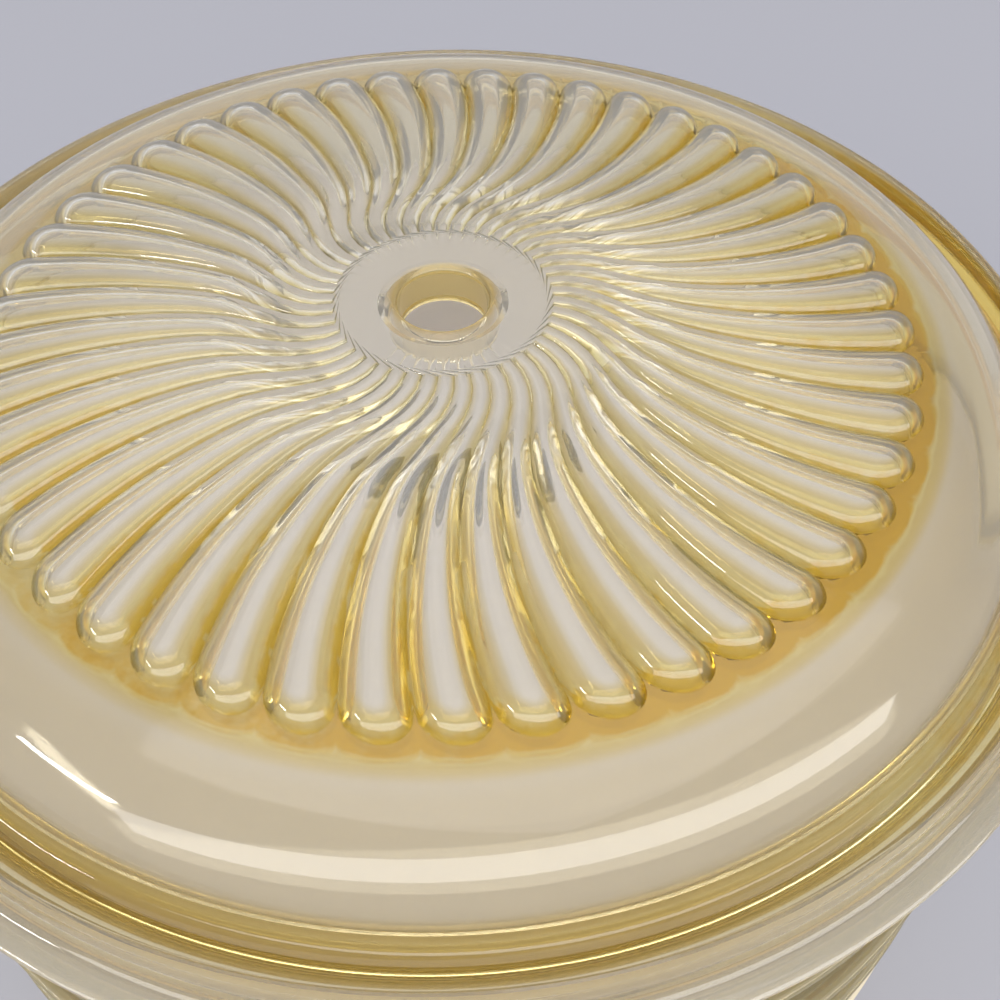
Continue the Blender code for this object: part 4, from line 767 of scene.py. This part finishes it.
# ---------------------------------------------------------------------------------------------
# Thermostat knob. Black phenolic with a scalloped grip and an inlaid pointer, pushed onto the
# brass spindle; it turns clockwise from the first mark of the scale to the last.
# ---------------------------------------------------------------------------------------------
KNOB_COLUMNS, SCALLOPS, SCALLOP_DEPTH = 144, 18, 0.0008
SPINDLE_BORE, BORE_DEPTH = 0.0033, 0.0074
GRIP_RADIUS, GRIP_FOOT = 0.0108, 0.0026                # the scallops are outside one and above the other
POINTER_SIZE, POINTER_CENTRE = Vector((0.0011, 0.0006, 0.0062)), 0.0062
knob_length = knob_high.y - knob_low.y
knob_outline = [
    (0.0, BORE_DEPTH), (SPINDLE_BORE, BORE_DEPTH), (SPINDLE_BORE, 0.0), (0.0136, 0.0), (0.0140, 0.0004),
    (0.0140, 0.0016), (0.0137, 0.0020), (0.0130, 0.0024), (0.0128, 0.0030), (0.0126, 0.0040),
    (0.0122, 0.0065), (0.0119, 0.0088), (0.0116, 0.0098), (0.0110, 0.0103), (0.0102, knob_length),
    (0.0092, 0.0103), (0.0050, 0.0100), (0.0, 0.0100)]
knob_shape = spun(knob_outline, KNOB_COLUMNS, closed=False)
for vert in knob_shape.verts:
    reach = hypot(vert.co.x, vert.co.y)
    if reach > GRIP_RADIUS and vert.co.z > GRIP_FOOT:
        angle = atan2(vert.co.y, vert.co.x)
        hollow = SCALLOP_DEPTH * (0.5 + 0.5 * cos(SCALLOPS * angle)) ** 1.5
        vert.co.x *= 1 - hollow / reach
        vert.co.y *= 1 - hollow / reach
stand_out = Matrix.Translation((knob_at.x, knob_high.y, knob_at.z)) @ Matrix.Rotation(pi / 2, 4, "X")
bmesh.ops.transform(knob_shape, verts=knob_shape.verts, matrix=stand_out)
phenolic = moulded("black_phenolic", "#1B1A19", "#161514", (0.26, 0.40), 0.0006, 0.10)
piece("scalloped_knob", knob_shape, phenolic, "knob", "black_plastic", "thermostat_knob")
pointer_shape = bmesh.new()
first_mark = Matrix.Translation((knob_at.x, 0, knob_at.z)) @ Matrix.Rotation(-TICK_SPAN / 2, 4, "Y")
bmesh.ops.create_cube(pointer_shape, size=1.0, matrix=first_mark @ Matrix.LocRotScale(
    Vector((0, knob_low.y + 0.0005, POINTER_CENTRE)), None, POINTER_SIZE))
rounded(pointer_shape, pointer_shape.edges[:], 0.0002, 3)
ivory = moulded("ivory_inlay_paint", "#EFE8D4", "#E9E0C9", (0.35, 0.45), 0.0008, 0.08)
piece("knob_pointer", pointer_shape, ivory, "knob", "black_plastic")

# ---------------------------------------------------------------------------------------------
# Power switch and lamp. A black surround snapped into the panel, a dished rocker that tilts in
# it, and a domed red lens beside it.
# ---------------------------------------------------------------------------------------------
SURROUND_LIP, SURROUND_PROUD = 0.0014, 0.0008
POCKET_WALL, POCKET_DEPTH = 0.0016, 0.0095
lip = Vector((SURROUND_LIP, 0, SURROUND_LIP))
front_at = panel_face - SURROUND_PROUD
switch_shape = block(switch_low, switch_high, 0.0006)
flange_low = Vector((switch_low.x, front_at, switch_low.z)) - lip
flange_high = Vector((switch_high.x, panel_face - 0.0001, switch_high.z)) + lip
switch_shape = carved(switch_shape, block(
    (switch_low.x, panel_face - 0.0004, switch_low.z), (switch_high.x, switch_low.y + 0.0010, switch_high.z),
    0.0006), "UNION")
switch_shape = carved(switch_shape, block(flange_low, flange_high, 0.0016, 0.0004), "UNION")
pocket = Vector((POCKET_WALL, 0, POCKET_WALL))
switch_shape = carved(switch_shape, block(
    Vector((switch_low.x, front_at - 0.0010, switch_low.z)) + pocket,
    Vector((switch_high.x, switch_low.y + POCKET_DEPTH, switch_high.z)) - pocket))
nylon = moulded("black_nylon", "#201F1E", "#1A1918", (0.38, 0.50), 0.0006, 0.15)
piece("switch_surround", switch_shape, nylon, "base", "black_plastic", "switch_body")

ROCKER_TILT = radians(7)
ROCKER_WIDTH, ROCKER_HEIGHT, ROCKER_DISH = 0.0160, 0.0092, 0.0016
ROCKER_FRONT, ROCKER_BACK = 0.00625, 0.00325           # from its pivot
ROCKER_TAPER = 0.7                                     # height of its back against its front
PIVOT_DEPTH = 0.00425                                  # of its pivot behind the switch's front
DISH_STEPS = 8
pivot = Vector(((switch_low.x + switch_high.x) / 2, switch_low.y + PIVOT_DEPTH,
                (switch_low.z + switch_high.z) / 2))
half_height = ROCKER_HEIGHT / 2
section = [(ROCKER_BACK, -ROCKER_TAPER * half_height)]
for step in range(-DISH_STEPS, DISH_STEPS + 1):
    rise = step / DISH_STEPS
    section.append((-ROCKER_FRONT + ROCKER_DISH * (1 - rise ** 2), rise * half_height))
section.append((ROCKER_BACK, ROCKER_TAPER * half_height))
rocker_shape = bmesh.new()
cheek = rocker_shape.faces.new([rocker_shape.verts.new((-ROCKER_WIDTH / 2, y, z)) for y, z in section])
moved = bmesh.ops.extrude_face_region(rocker_shape, geom=[cheek])["geom"]
bmesh.ops.translate(rocker_shape, verts=[part for part in moved if isinstance(part, bmesh.types.BMVert)],
                    vec=(ROCKER_WIDTH, 0, 0))
bmesh.ops.recalc_face_normals(rocker_shape, faces=rocker_shape.faces)
corners = [rim for rim in rocker_shape.edges if rim.calc_face_angle() > radians(40)]
rounded(rocker_shape, corners, 0.0004, 3)
bmesh.ops.transform(rocker_shape, verts=rocker_shape.verts,
                    matrix=Matrix.Translation(pivot) @ Matrix.Rotation(ROCKER_TILT, 4, "X"))
piece("dished_rocker", rocker_shape, phenolic, "rocker", "black_plastic", "power_rocker")

DOME_STEPS, ROUND_COLUMNS = 10, 64
lens_radius = (lens_high.x - lens_low.x) / 2
lens_outline = [(0.0, 0.0), (lens_radius, 0.0), (lens_radius, lens_high.y - panel_face)]
for step in range(1, DOME_STEPS + 1):
    turn = pi / 2 * step / DOME_STEPS
    lens_outline.append((lens_radius * cos(turn) if step < DOME_STEPS else 0.0,
                         lens_high.y - panel_face + (panel_face - lens_low.y) * sin(turn)))
lens_shape = spun(lens_outline, ROUND_COLUMNS, closed=False)
bmesh.ops.transform(lens_shape, verts=lens_shape.verts,
                    matrix=Matrix.Translation((0, lens_high.y, knob_at.z)) @ Matrix.Rotation(pi / 2, 4, "X"))
red_lens = new_material("red_acrylic_lens")
tree = red_lens.node_tree
place = add(tree, "ShaderNodeTexCoord").outputs["Object"]
SCUFF_SIZE = 0.0025
scuff = noise(tree, place, 1 / SCUFF_SIZE, 3.0)
show(tree, add(tree, "ShaderNodeBsdfPrincipled", {
    "Base Color": blend(tree, scuff, "#A81A10", "#96140C"), "Roughness": between(tree, scuff, 0.06, 0.14),
    "IOR": 1.49, "Transmission Weight": 0.35}))
piece("lamp_dome", lens_shape, red_lens, "base", "lamp", "indicator_lens")

# ---------------------------------------------------------------------------------------------
# Power inlet and feet. A black nylon socket for the mains lead at the back, and four moulded
# rubber feet with a hollow underneath.
# ---------------------------------------------------------------------------------------------
INLET_WALL, INLET_POCKET, PIN_HOLE = 0.0025, 0.0140, 0.0015
inlet_shape = block((inlet_low.x, -inlet_high.y, inlet_low.z), (inlet_high.x, -inlet_low.y, inlet_high.z),
                    INLET_CORNER - HOUSING_GAP, 0.0008, turn=pi)
socket_wall = Vector((INLET_WALL, 0, INLET_WALL))
inlet_shape = carved(inlet_shape, block(
    Vector((inlet_low.x, inlet_high.y - INLET_POCKET, inlet_low.z)) + socket_wall,
    inlet_high - socket_wall + back_reach, 0.0010))
for index in (1, 2):
    pin_low, pin_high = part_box(f"inlet_pin_{index}")
    inlet_shape = carved(inlet_shape, rod(PIN_HOLE, -inlet_high.y, -inlet_low.y + 0.0010,
                                          (pin_low.x + pin_high.x) / 2, (pin_low.z + pin_high.z) / 2,
                                          facing="-Y"))
piece("inlet_socket", inlet_shape, nylon, "base", "black_plastic", "power_inlet")

foot_low, foot_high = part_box("foot_1")
foot_radius = (foot_high.x - foot_low.x) / 2
foot_outline = [
    (0.0, foot_low.z + 0.0012), (foot_radius * 0.45, foot_low.z + 0.0012),
    (foot_radius * 0.52, foot_low.z + 0.0004), (foot_radius * 0.60, foot_low.z),
    (foot_radius * 0.80, foot_low.z), (foot_radius * 0.87, foot_low.z + 0.0003),
    (foot_radius * 0.905, foot_low.z + 0.0012), (foot_radius * 0.98, foot_high.z - 0.0012),
    (foot_radius, foot_high.z - 0.0004), (foot_radius - 0.0004, foot_high.z), (0.0, foot_high.z)]
rubber = moulded("moulded_grey_rubber", "#3A3937", "#33322F", (0.70, 0.85), 0.0010, 0.35)
foot_shape = spun(foot_outline, ROUND_COLUMNS, closed=False)
FOOT_COUNT = 4
for index in range(FOOT_COUNT):
    low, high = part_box(f"foot_{index + 1}")
    copy = foot_shape.copy()
    bmesh.ops.translate(copy, verts=copy.verts, vec=((low.x + high.x) / 2, (low.y + high.y) / 2, 0))
    piece(f"rubber_foot_{index + 1}", copy, rubber, "base", "rubber", f"foot_{index + 1}")
foot_shape.free()

# ---------------------------------------------------------------------------------------------
# Inner works. The plate, deck, duct, heater, motor, fan and wiring keep their engineered shapes,
# and each takes the finish of what it is made of.
# ---------------------------------------------------------------------------------------------
zinc = moulded("bright_zinc_plated_steel", "#C9CBC9", "#B4B6B2", (0.26, 0.42), 0.0012, 0.10, metallic=1.0)
sheath = moulded("oxidised_heater_sheath", "#4E443C", "#3A342F", (0.42, 0.60), 0.0008, 0.20, metallic=1.0)
steatite = moulded("glazed_steatite", "#E9E4D8", "#E0DACB", (0.25, 0.38), 0.0012, 0.08, ior=1.56)
turned_brass = moulded("turned_brass", "#D2AE62", "#BF9848", (0.20, 0.34), 0.0010, 0.08, metallic=1.0)
fan_nylon = moulded("black_fan_nylon", "#262524", "#1F1E1D", (0.40, 0.52), 0.0006, 0.12)
sleeve = moulded("white_silicone_sleeving", "#D5D2C8", "#CBC7BB", (0.50, 0.62), 0.0009, 0.15)
FINISHES = {
    "bottom_plate": almond, "air_deck": almond, "thermostat_spindle": turned_brass, "thermostat_body": zinc,
    "inlet_pin_1": turned_brass, "inlet_pin_2": turned_brass, "air_duct": zinc, "heater_bracket": zinc,
    "heating_element": sheath, "motor_bracket": zinc, "motor_body": zinc, "motor_shaft": zinc,
    "fan_impeller": fan_nylon, "fan_nut": turned_brass, "terminal_block": steatite, "thermal_cutout": zinc,
}
for group, count, finish in (("housing_screw", 4, zinc), ("deck_screw", 3, zinc), ("motor_screw", 3, zinc),
                             ("heater_insulator", 3, steatite), ("mains_lead", 2, sleeve)):
    FINISHES.update({f"{group}_{index + 1}": finish for index in range(count)})
for node in ("switch_lead", "thermostat_lead", "heater_lead"):
    FINISHES[node] = sleeve
for node, finish in FINISHES.items():
    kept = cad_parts[node]
    kept.data.materials.clear()
    kept.data.materials.append(finish)
